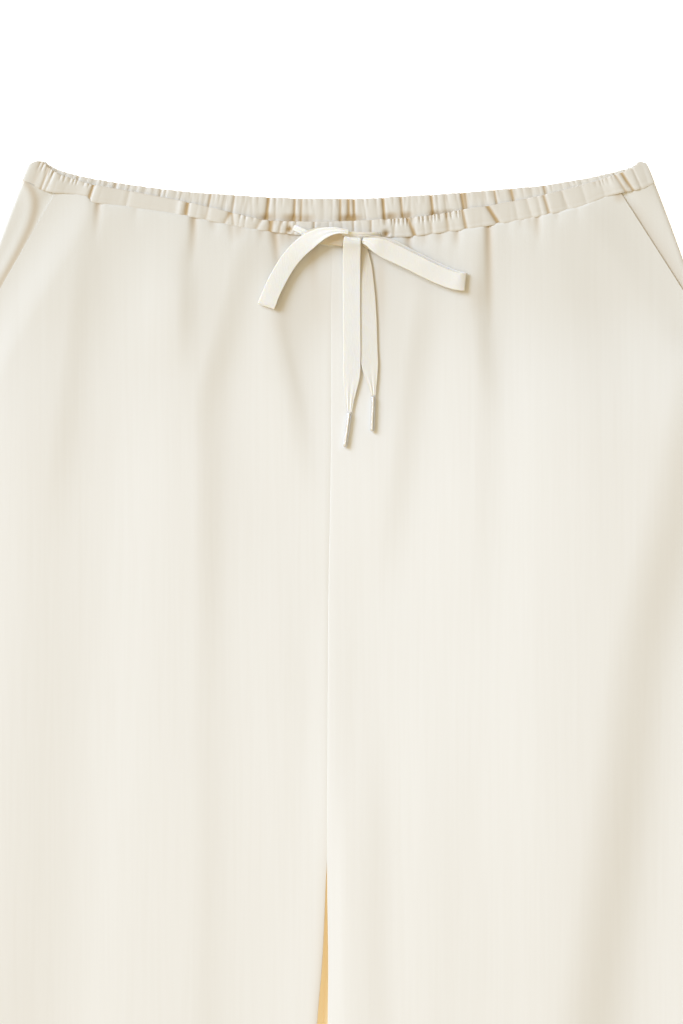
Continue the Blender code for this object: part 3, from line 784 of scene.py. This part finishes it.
def front_panel(finish, side, creases):
    roll = 4.0
    tuck = 1.1
    weight, shift = column_weights(7, FRONT_COLUMNS)
    fraction = down_steps(FRONT_ROWS, 0.85)[:, None]

    def edges(down):
        joined = 1.0 - smooth_step(LEGS_PART_DOWN - 12.0, LEGS_PART_DOWN + 12.0, down)
        overlap = 0.8 * joined if side < 0 else 0.0
        return inner_edge(side, down) + overlap, side * opening_edge(side, down)

    across, down, seam, start, end = lay_out(
        side, fraction, weight, roll * shift, LEG_GUESS, tuck, front_seam, hem_down, edges
    )
    from_start = np.abs(across - start)
    from_end = np.abs(end - across)
    below = down - seam
    grooves = pucker_depth(across, below, creases)
    hem_fold = hem_down(across) - HEM_TURN
    hem = 0.35 * smooth_step(hem_fold - 1.5, hem_fold + 1.5, down)
    beside_pocket = 0.3 + 0.7 * smooth_step(0.0, 40.0, from_end)
    height = front_height(across, down) + fullness(below) * beside_pocket + hem - grooves
    seam_dip = 0.10 + (0.36 if side < 0 else 0.02) * smooth_step(60.0, 140.0, down)
    seam_dip = seam_dip * (1.0 - 0.6 * smooth_step(LEGS_PART_DOWN - 60.0, LEGS_PART_DOWN, down))
    height = rolled(height - seam_dip, height, from_start, roll)
    over_facing = FACING_TOP + SHOWN_WALL + 0.1
    ease = 1.0 - smooth_step(0.0, 30.0, from_end)
    at_pocket = height - (height - over_facing) * ease
    at_side = rolled(FRONT_EDGE, height, from_end, roll)
    end_down = pocket(side).end_down
    side_drop = smooth_step(end_down - 2.0, end_down + 22.0, down)
    height = at_pocket * (1 - side_drop) + at_side * side_drop
    under_band = smooth_step(0.0, 1.0, -below / tuck)
    height = height * (1 - under_band) + np.minimum(height, FRONT_BAND_LOW + 0.6) * under_band
    name = "front_leg_" + side_word(side)
    obj = sheet_object(name, place(across, down, height), finish, SHOWN_WALL, -1.0, side > 0)
    store_painted_shade(obj, front_painted_shade(side, across, down, start, grooves))
    return obj


def back_panel(finish, inside, side):
    inset = 0.5
    tuck = 1.3
    weight = np.linspace(0.0, 1.0, BACK_COLUMNS)
    fraction = down_steps(BACK_ROWS, 3.0)[:, None]

    def top(across, down):
        return back_seam(across, down) + SEAM_GAP

    def foot(across):
        return hem_down(across) - 1.0

    def edges(down):
        start = back_inner_edge(side, down) + (inset if side < 0 else 0.0)
        return start, side * (half_width(down) - inset)

    across, down, *_ = lay_out(side, fraction, weight, 0.0, LEG_GUESS, tuck, top, foot, edges)
    height = sum(
        row.high * bell(across - side * row.across - row.lean * down, row.wide) for row in BACK_LINES
    )
    name = "back_leg_" + side_word(side)
    return sheet_object(name, place(across, down, height), inside, SHOWN_WALL, 1.0, side > 0, finish)


def pocket_facing(finish, side):
    roll = 2.5
    tuck = 1.3
    weight, shift = column_weights(6, FACING_COLUMNS)
    fraction = np.linspace(0.0, 1.0, FACING_ROWS)[:, None]

    def top(across, down):
        return front_seam(across, down) + SEAM_GAP

    def foot(across):
        return pocket(side).end_down - 5.0

    def edges(down):
        return side * (opening_edge(side, down) - FACING_UNDERLAP), side * half_width(down)

    across, down, seam, *_ = lay_out(
        side, fraction, weight, roll * shift, FACING_GUESS, tuck, top, foot, edges
    )
    from_opening = np.abs(across) - opening_edge(side, down)
    streak_at = 1.0 + 10.0 * np.exp(-(down - 21.0) / 12.0)
    by_seam = np.exp(-np.clip(down - seam, 0.0, None) / 9.0)
    swell = (0.45 if side < 0 else 0.0) * bell(from_opening - streak_at - 3.0, 2.6)
    swell += (0.2 if side < 0 else 0.4) * bell(from_opening - 17.0, 5.0)
    swell += 0.75 * by_seam * smooth_step(2.0, 10.0, from_opening)
    height = rolled(FRONT_EDGE, FACING_TOP + swell, half_width(down) - np.abs(across), roll)
    name = "pocket_facing_shown_" + side_word(side)
    obj = sheet_object(name, place(across, down, height), finish, SHOWN_WALL, -1.0, side > 0)
    # Painted shade: a tan streak beside the left opening, and along the right opening where the front's
    # edge shades the facing
    if side < 0:
        streak = 0.42 * bell(from_opening - streak_at, 1.7)
    else:
        streak = 0.34 * np.exp(-np.abs(from_opening) / 3.5) * smooth_step(seam, seam + 14.0, down)
    store_painted_shade(obj, streak)
    return obj


# 'shade' is painted shade over the whole band; 'edge_shade' is painted shade along its top edge and at its
# seam
Casing = namedtuple(
    "Casing", "name creases frills slits tucks pull top_of seam_of low shade edge_shade"
)


def frill_height(frills, at, v):
    """How high the fine frill of a band's top edge stands."""
    height = np.zeros_like(v)
    wander = 0.8 * np.sin(at * 0.37) + 0.5 * np.sin(at * 0.83)
    by_top = 1.0 - smooth_step(0.1, 0.45, v)
    for row in frills:
        inside = smooth_step(row.start - 3, row.start + 3, at)
        inside = inside * (1 - smooth_step(row.stop - 3, row.stop + 3, at))
        pitch = np.abs(np.sin(math.pi * (at + wander) / row.pitch))
        height += row.high * inside * (1.0 - pitch) * by_top
    return height


def band(finish, casing):
    """A gathered casing: a plain underside and a creased outer face."""
    near_top = (0.0, 0.015, 0.05, 0.11, 0.18)
    near_seam = (0.9, 0.95, 0.985, 1.0)
    along = np.linspace(-1.0, 1.0, BAND_COLUMNS)[:, None]
    at = along * WAIST_HALF
    v = np.concatenate((near_top, np.linspace(0.26, 0.84, 9), near_seam))[None, :] + 0 * along
    top = casing.top_of(at)
    seam = casing.seam_of(at)
    tall = seam - top
    sink = sum(
        row.depth * valley(at - row.across - row.slant * (1.0 - v), row.wide) for row in casing.creases
    )
    sink = DEEPEST_CREASE * np.tanh(sink / DEEPEST_CREASE)
    slit = sum(
        bell(at - row.across, row.half_wide) * bell(v - row.v, row.half_v * 0.6) for row in casing.slits
    )
    tuck = sum(row.depth * bell(at - row.across, row.wide) for row in casing.tucks)
    tuck = tuck * smooth_step(0.55, 0.75, v)
    frill = frill_height(casing.frills, at, v)
    end_over = np.maximum(0.0, np.abs(along) - 0.985) / 0.0152
    end_round = np.sqrt(np.maximum(0.0, 1.0 - end_over ** 2))
    rise = 0.86 + 0.14 * np.sqrt(1.0 - (1.0 - np.clip(v / 0.12, 0.0, 1.0)) ** 2)
    fall = 1.0 - 0.18 * smooth_step(0.88, 1.0, v) - 0.10 * bell(v - 0.80, 0.06)
    puffed = 0.45 + 0.30 * smooth_step(0.05, 0.6, casing.pull(at))
    crown = (BAND_WALL - 0.1) * (0.35 + 0.65 * end_round) * puffed
    drawn_in = CREASE_SHARE * sink + frill + 1.6 * slit + tuck
    height = np.maximum(casing.low + 0.35 + crown * rise * fall - drawn_in, casing.low + 0.25)
    notch = np.clip(0.22 * sink[:, :1] + 0.7 * frill[:, :1], 0.0, 1.0)
    down = top + notch + (tall - notch) * v
    under = np.concatenate((seam, seam - 0.5 * tall, top + notch + 0.4), axis=1)
    downs = np.concatenate((down, under), axis=1)
    heights = np.concatenate((height, np.full_like(under, casing.low)), axis=1)
    points = place(along * half_width(downs), downs, heights)
    obj = ring_object(casing.name, points, finish, flip=True)
    # Painted shade: tan in creases, frills, slits and tucks, and along the band's top edge and seam
    tint = casing.shade + 0.85 * smooth_step(0.45, 1.5, sink) + 0.35 * frill + 0.9 * slit + 0.5 * tuck
    tint += casing.edge_shade * (np.exp(-v / 0.035) + 0.5 * np.exp((v - 1.0) / 0.05))
    tint = np.clip(tint, 0.0, 0.95)
    tint *= 1.0 - smooth_step(0.97, 1.0, np.abs(along))
    store_painted_shade(obj, np.concatenate((tint, np.zeros_like(under)), axis=1))
    return obj


def smooth_route(runs):
    """Points on a smooth curve through a route's rows, with roll and width along it."""
    rows = [Vector((r.across, r.down, r.lift)) for r in runs]
    made = []
    for k in range(len(rows) - 1):
        before = rows[max(0, k - 1)]
        after = rows[min(len(rows) - 1, k + 2)]
        for step in range(ROUTE_STEPS):
            t = step / ROUTE_STEPS
            a, b, c, d = hermite(t)
            point = rows[k] * a + rows[k + 1] * b
            point += (rows[k + 1] - before) * 0.5 * c + (after - rows[k]) * 0.5 * d
            roll = runs[k].roll + (runs[k + 1].roll - runs[k].roll) * t
            wide = runs[k].wide + (runs[k + 1].wide - runs[k].wide) * t
            made.append((point, roll, wide))
    made.append((rows[-1], runs[-1].roll, runs[-1].wide))
    return made


def ribbon_frames(runs):
    """Middle, width direction, face direction and width of a ribbon along its route."""
    points = smooth_route(runs)
    places = []
    for point, _, _ in points:
        base = float(cloth_top(point.x, point.y))
        places.append(Vector((point.x, -point.y, base + point.z)))
    last = len(places) - 1
    away = [(p - places[0]).length for p in places]
    turn = away.index(max(away))
    steps = [places[min(last, k + 1)] - places[max(0, k - 1)] for k in range(last + 1)]
    ways = [Vector((s.x, s.y, 0.0)) * (1.0 if k <= turn else -1.0) for k, s in enumerate(steps)]
    frames = []
    reach = 5
    for k, (_, roll, wide) in enumerate(points):
        heading = Vector()
        for j in range(max(0, k - reach), min(last, k + reach) + 1):
            heading += ways[j] * (reach + 1 - abs(j - k))
        heading.normalize()
        angle = math.radians(roll)
        side = Vector((-heading.y, heading.x, 0.0)) * math.cos(angle)
        side -= Vector((0.0, 0.0, math.sin(angle)))
        normal = side.cross(steps[k].normalized()).normalized()
        frames.append((places[k], side, normal, wide * RIBBON_SHOWN))
    return frames


def ribbon(finish, name, runs, pleat, root_shade=0.0, shade_reach=1.0, shade_all=0.0):
    """A flat woven ribbon: full width where it lies free, pleated where it is gathered.

    Near its first end, or all along, it takes painted shade, the warm tan of cloth in the bow's shade; its
    edges take a little painted shade too.
    """
    across = np.linspace(-1.0, 1.0, 23)
    wave = np.cos(across * 2.5 * math.pi)
    there_and_back = np.concatenate((across, across[::-1]))
    half = RIBBON_WALL / 2 * (0.8 + 0.2 * np.sqrt(np.maximum(0.0, 1.0 - np.abs(across) ** 16)))
    half = half + 0.02 * bell(np.abs(across) - 0.88, 0.05)
    edge_painted_shade = 0.20 * smooth_step(0.93, 0.99, np.abs(across))
    crown = 0.05
    rings = []
    path = []
    tint = []
    gone = 0.0
    for middle, side, normal, wide in ribbon_frames(runs):
        tight = 1.0 - wide / (RIBBON_WIDTH * RIBBON_SHOWN)
        lift = pleat * tight * 2.0 * wave - crown * across ** 2
        heights = np.concatenate((lift + half, (lift - half)[::-1]))
        section = [middle + side * (u * wide / 2) + normal * h for u, h in zip(there_and_back, heights)]
        rings.append([place(p.x, -p.y, p.z) for p in section])
        spot = Vector(place(middle.x, -middle.y, middle.z))
        gone += math.dist(spot, path[-1]) / MM if path else 0.0
        path.append(tuple(spot))
        flat_tint = shade_all + root_shade * math.exp(-(gone / shade_reach) ** 2)
        tint.append(np.concatenate((flat_tint + edge_painted_shade, flat_tint + edge_painted_shade[::-1])))
    obj = ring_object(name, np.array(rings), finish)
    store_painted_shade(obj, np.array(tint))
    return obj, path


def knot(finish):
    """The wrap of the bow's knot: ribbon drawn over the loops' roots, with soft creases."""
    middle_z = float(cloth_top(KNOT_ACROSS, KNOT_DOWN)) + 0.5 + KNOT_HIGH / 2
    columns = 56
    rows = 30
    rings = []
    for r in range(rows):
        u = -1.0 + 2.0 * r / (rows - 1)
        size = 0.80 + 0.20 * math.sqrt(max(0.0, 1.0 - abs(u) ** 10))
        size *= 1.0 - 0.05 * math.exp(-((u + 0.35) / 0.16) ** 2) - 0.04 * math.exp(-((u - 0.4) / 0.2) ** 2)
        ring = []
        for c in range(columns):
            angle = 2.0 * math.pi * c / columns
            y = math.copysign(abs(math.cos(angle)) ** 0.8, math.cos(angle)) * KNOT_TALL / 2
            z = math.copysign(abs(math.sin(angle)) ** 0.85, math.sin(angle)) * KNOT_HIGH / 2
            across = KNOT_ACROSS + u * KNOT_WIDE / 2 + 0.25 * math.cos(angle)
            ring.append(place(across, KNOT_DOWN - y * size, middle_z + z * size))
        rings.append(ring)
    obj = ring_object("bow_knot", np.array(rings), finish, flip=True)
    # Painted shade over the whole knot
    store_painted_shade(obj, np.full(rows * columns, 0.35))
    return obj


def above_cloth(across, down, rise):
    return Vector(place(across, down, cloth_top(across, down) + rise))


def aglet(finish, row):
    """A metal tip: a thin tube with a groove, its mouth crimped round the ribbon."""
    rise = AGLET_DIAMETER / 2 + 0.4
    top = above_cloth(row.top_across, row.top_down, rise)
    axis = above_cloth(row.foot_across, row.foot_down, rise) - top
    radius = AGLET_DIAMETER / 2 * MM * 0.97
    side = axis.cross(Vector((0, 0, 1))).normalized()
    up = side.cross(axis).normalized()
    count = 72
    groove_angle = math.radians(52.0)
    spokes = []
    for c in range(count):
        angle = 2.0 * math.pi * c / count
        groove = 1.0 - 0.30 * math.exp(-((angle - groove_angle) / 0.13) ** 2)
        spokes.append((side * math.cos(angle) + up * math.sin(angle)) * radius * groove)
    rings = [[top + axis * along + out * size for out in spokes] for along, size in AGLET_OUTLINE]
    return ring_object(row.name, np.array(rings), finish)


def new_material(name):
    made = bpy.data.materials.new(name)
    made.use_nodes = True
    return made, made.node_tree, made.node_tree.nodes["Principled BSDF"]


def add_node(tree, kind, **values):
    node = tree.nodes.new("ShaderNode" + kind)
    for key, value in values.items():
        setattr(node, key, value)
    return node


def set_inputs(node, values):
    for name, value in values.items():
        node.inputs[name].default_value = value


def stretched_noise(tree, scale, detail, name):
    """Noise in the garment's own metres, stretched by a scale for each direction."""
    coords = add_node(tree, "TexCoord")
    mapping = add_node(tree, "Mapping")
    set_inputs(mapping, {"Scale": scale})
    noise = add_node(tree, "TexNoise", label=name)
    set_inputs(noise, {"Scale": 1.0, "Detail": detail})
    tree.links.new(coords.outputs["Object"], mapping.inputs["Vector"])
    tree.links.new(mapping.outputs["Vector"], noise.inputs["Vector"])
    return noise


def two_tone(tree, factor, low, high, span):
    ramp = add_node(tree, "ValToRGB")
    ramp.color_ramp.elements[0].position = span[0]
    ramp.color_ramp.elements[0].color = (*low, 1.0)
    ramp.color_ramp.elements[1].position = span[1]
    ramp.color_ramp.elements[1].color = (*high, 1.0)
    tree.links.new(factor, ramp.inputs["Fac"])
    return ramp.outputs["Color"]


def add_bump(tree, shader, layers):
    """Bumps chained one on the other, each with its height source, strength and depth."""
    previous = None
    for height, strength, distance in layers:
        bump = add_node(tree, "Bump")
        set_inputs(bump, {"Strength": strength, "Distance": distance})
        tree.links.new(height, bump.inputs["Height"])
        if previous is not None:
            tree.links.new(previous, bump.inputs["Normal"])
        previous = bump.outputs["Normal"]
    tree.links.new(previous, shader.inputs["Normal"])


def mix_painted_shade(tree, colour):
    """Mixes in painted shade, the warm tan of cloth in shade, by the mesh's own 'crease' values."""
    crease = add_node(tree, "Attribute", attribute_name="crease")
    tint = add_node(tree, "Mix", data_type="RGBA")
    set_inputs(tint, {"B": (*PAINTED_SHADE_TAN, 1.0)})
    tree.links.new(crease.outputs["Fac"], tint.inputs["Factor"])
    tree.links.new(colour, tint.inputs["A"])
    return tint.outputs["Result"]


def lengthwise_painted_shade(tree, colour, tone, start, stop):
    """Paints shade: takes the cloth to a slightly deeper tone between two places along the garment."""
    coords = add_node(tree, "TexCoord")
    split = add_node(tree, "SeparateXYZ")
    amount = add_node(tree, "MapRange", interpolation_type="SMOOTHSTEP")
    set_inputs(amount, {"From Min": start, "From Max": stop})
    mix = add_node(tree, "Mix", data_type="RGBA", blend_type="MULTIPLY")
    set_inputs(mix, {"B": (*tone, 1.0)})
    tree.links.new(coords.outputs["Object"], split.inputs["Vector"])
    tree.links.new(split.outputs["Y"], amount.inputs["Value"])
    tree.links.new(amount.outputs["Result"], mix.inputs["Factor"])
    tree.links.new(colour, mix.inputs["A"])
    return mix.outputs["Result"]


def satin(name, light, shade, roughness, sheen, painted_glow=0.0):
    """Heavy satin: a smooth face with faint upright slubs and a very fine weave."""
    made, tree, shader = new_material(name)
    slubs = stretched_noise(tree, (520.0, 12.0, 40.0), 2.0, "slubs")
    weave = stretched_noise(tree, (2600.0, 900.0, 1500.0), 1.0, "weave")
    cloud = stretched_noise(tree, (9.0, 5.0, 5.0), 2.0, "cloud")
    mix = add_node(tree, "Math", operation="MULTIPLY_ADD")
    set_inputs(mix, {1: 0.6})
    tree.links.new(cloud.outputs["Fac"], mix.inputs[0])
    tree.links.new(slubs.outputs["Fac"], mix.inputs[2])
    colour = two_tone(tree, mix.outputs["Value"], shade, light, (0.50, 1.0))
    # Painted shade in creases and under the bow, from the mesh's 'crease' values
    colour = mix_painted_shade(tree, colour)
    for tone in (WAIST_PAINTED_SHADE, LEG_PAINTED_SHADE):
        colour = lengthwise_painted_shade(tree, colour, *tone)
    tree.links.new(colour, shader.inputs["Base Color"])
    set_inputs(shader, {
        "Roughness": roughness,
        "Specular IOR Level": 0.35,
        "Sheen Weight": sheen,
        "Sheen Roughness": 0.45,
    })
    # Painted light: a warm glow in the cloth
    if painted_glow > 0.0:
        set_inputs(shader, {"Emission Color": (*PAINTED_GLOW_COLOUR, 1.0), "Emission Strength": painted_glow})
    layers = ((slubs.outputs["Fac"], 0.02, 0.0006), (weave.outputs["Fac"], 0.10, 0.0002))
    add_bump(tree, shader, layers)
    return made


def ribbon_cloth():
    """Woven ribbon: close lengthwise ribs and a plain selvedge."""
    made, tree, shader = new_material("ivory_ribbon")
    ribs = stretched_noise(tree, (1500.0, 260.0, 900.0), 2.0, "ribs")
    cloud = stretched_noise(tree, (60.0, 60.0, 60.0), 2.0, "cloud")
    colour = two_tone(tree, cloud.outputs["Fac"], RIBBON_SHADE, RIBBON_IVORY, (0.3, 0.7))
    # The ribbon takes painted shade from its 'crease' values too
    tree.links.new(mix_painted_shade(tree, colour), shader.inputs["Base Color"])
    set_inputs(shader, {
        "Roughness": 0.5,
        "Specular IOR Level": 0.3,
        "Sheen Weight": 0.10,
        "Subsurface Weight": 0.3,
        "Subsurface Radius": (1.0, 0.75, 0.4),
        "Subsurface Scale": 0.0015,
    })
    add_bump(tree, shader, ((ribs.outputs["Fac"], 0.25, 0.0004),))
    return made


def metal():
    """Pale polished metal with faint drawn lines and handling marks."""
    made, tree, shader = new_material("pale_metal")
    marks = stretched_noise(tree, (900.0, 90.0, 900.0), 3.0, "marks")
    dark = tuple(c * 0.88 for c in METAL_PALE)
    colour = two_tone(tree, marks.outputs["Fac"], dark, METAL_PALE, (0.35, 0.65))
    tree.links.new(colour, shader.inputs["Base Color"])
    set_inputs(shader, {"Metallic": 1.0, "Roughness": 0.26})
    add_bump(tree, shader, ((marks.outputs["Fac"], 0.08, 0.0002),))
    return made


def floor_finish():
    made, _, shader = new_material("white_floor")
    set_inputs(shader, {
        "Base Color": (0.95, 0.95, 0.95, 1.0),
        "Roughness": 0.9,
        "Emission Color": (1.0, 1.0, 1.0, 1.0),
        "Emission Strength": 1.0,
    })
    return made


def floor():
    mesh = bpy.data.meshes.new("studio_floor")
    bm = bmesh.new()
    bmesh.ops.create_grid(bm, x_segments=2, y_segments=2, size=FLOOR_SIZE / 2)
    bm.to_mesh(mesh)
    bm.free()
    obj = new_object("studio_floor", mesh)
    obj.location.z = FLOOR_HEIGHT
    obj.data.materials.append(floor_finish())


def camera():
    """Straight above, with the photo's frame: its scale and the waist's place in it."""
    data = bpy.data.cameras.new("camera")
    obj = new_object("camera", data)
    scale = MM_PER_PX * MM
    across = (PHOTO_WIDE / 2 - WAIST_MIDDLE_PX) * scale
    down = (PHOTO_TALL / 2 - WAIST_TOP_PX) * scale
    obj.location = (across, LENGTH / 2 * MM - down, CAMERA_HEIGHT)
    data.sensor_fit = "VERTICAL"
    data.sensor_height = SENSOR_MM
    data.lens = SENSOR_MM * (CAMERA_HEIGHT - SCALE_HEIGHT) / (PHOTO_TALL * scale)
    data.clip_end = 20.0
    bpy.context.scene.camera = obj


def key_light():
    """A soft cool light from the upper left."""
    data = bpy.data.lights.new("key", "SUN")
    data.energy = 3.2
    data.angle = math.radians(32.0)
    data.color = (0.52, 0.70, 1.0)
    key = new_object("key", data)
    key.rotation_euler = Vector((-0.72, 0.42, 0.56)).to_track_quat("Z", "Y").to_euler()


def fill():
    """A warm world that is brighter on the left than on the right."""
    world = bpy.data.worlds.new("studio")
    world.use_nodes = True
    tree = world.node_tree
    back = tree.nodes["Background"]
    coords = add_node(tree, "TexCoord")
    split = add_node(tree, "SeparateXYZ")
    tree.links.new(coords.outputs["Generated"], split.inputs["Vector"])
    ramp = add_node(tree, "MapRange")
    set_inputs(ramp, {"From Min": -1.0, "From Max": 1.0, "To Min": 0.89, "To Max": 0.32})
    tree.links.new(split.outputs["X"], ramp.inputs["Value"])
    tree.links.new(ramp.outputs["Result"], back.inputs["Strength"])
    set_inputs(back, {"Color": (1.0, 0.84, 0.55, 1.0)})
    bpy.context.scene.world = world


def softbox():
    """A large warm light overhead."""
    data = bpy.data.lights.new("softbox", "AREA")
    data.shape = "RECTANGLE"
    data.size = 2.0
    data.size_y = 1.8
    data.energy = 4.5
    data.color = (1.0, 0.90, 0.72)
    new_object("softbox", data).location = (-0.10, -0.16, 1.3)


def settle(obj, node):
    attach(obj, "root")
    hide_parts(node)


camera()
key_light()
fill()
softbox()
floor()
bpy.context.scene.view_settings.view_transform = "Standard"

SATIN = satin("ivory_satin", IVORY, IVORY_SHADE, roughness=0.42, sheen=0.12)
REVERSE = satin("satin_inside_painted_glow", INSIDE, INSIDE_SHADE, roughness=0.6, sheen=0.05, painted_glow=INSIDE_PAINTED_GLOW)
TAPE = ribbon_cloth()
METAL = metal()

bow_knot = knot(TAPE)
settle(bow_knot, "drawstring_knot")
tips = {}
for row in AGLETS:
    tips[row.node] = aglet(METAL, row)
    settle(tips[row.node], row.node)
leads = {}
for word, runs in (("left", LEAD_LEFT), ("right", LEAD_RIGHT)):
    leads[word], _ = ribbon(TAPE, "bow_lead_" + word, runs, pleat=0.05)
    settle(leads[word], "drawstring_lead_" + word)

# Stretches of the bow: 'shade' paints shade on the first end, 'over_all' on the whole stretch
Stretch = namedtuple("Stretch", "which runs far_end with_pieces shade reach over_all")
STRETCHES = (
    Stretch("loop_left", LOOP_LEFT, "object", [bow_knot, leads["left"]], 0.55, 22, 0),
    Stretch("loop_right", LOOP_RIGHT, "object", [leads["right"]], 0.45, 12, 0),
    Stretch("tail_left", TAIL_LEFT, "fitting", [tips["aglet_left"]], 0.12, 3, 0),
    Stretch("tail_right", TAIL_RIGHT, "fitting", [tips["aglet_right"]], 0.30, 30, 0.10),
)
for row in STRETCHES:
    piece, path = ribbon(TAPE, "bow_" + row.which, row.runs, 0.12, row.shade, row.reach, row.over_all)
    settle(piece, "drawstring_" + row.which)

front_gathers = gathers(FRONT_CREASES, front_pull, seed=11, count=76)
back_gathers = gathers(BACK_CREASES, back_pull, seed=23, count=96)
for side in (-1, 1):
    word = side_word(side)
    front = front_panel(SATIN, side, front_gathers)
    settle(front, "front_" + word)
    back = back_panel(SATIN, REVERSE, side)
    settle(back, "back_" + word)
    facing = pocket_facing(SATIN, side)
    settle(facing, "pocket_facing_" + word)

FRONT_CASING = Casing(
    "gathered_band_front", front_gathers, FRONT_FRILLS, SLITS, (), front_pull,
    waist_front_top, waist_front_seam, low=FRONT_BAND_LOW, shade=0.08, edge_shade=0.30,
)
BACK_CASING = Casing(
    "gathered_band_back", back_gathers, BACK_FRILLS, (), BACK_TUCKS, back_pull,
    waist_back_top, back_casing_seam, low=0.0, shade=0.09, edge_shade=0.10,
)
front_band = band(SATIN, FRONT_CASING)
settle(front_band, "waistband_front")
back_band = band(SATIN, BACK_CASING)
settle(back_band, "waistband_back")
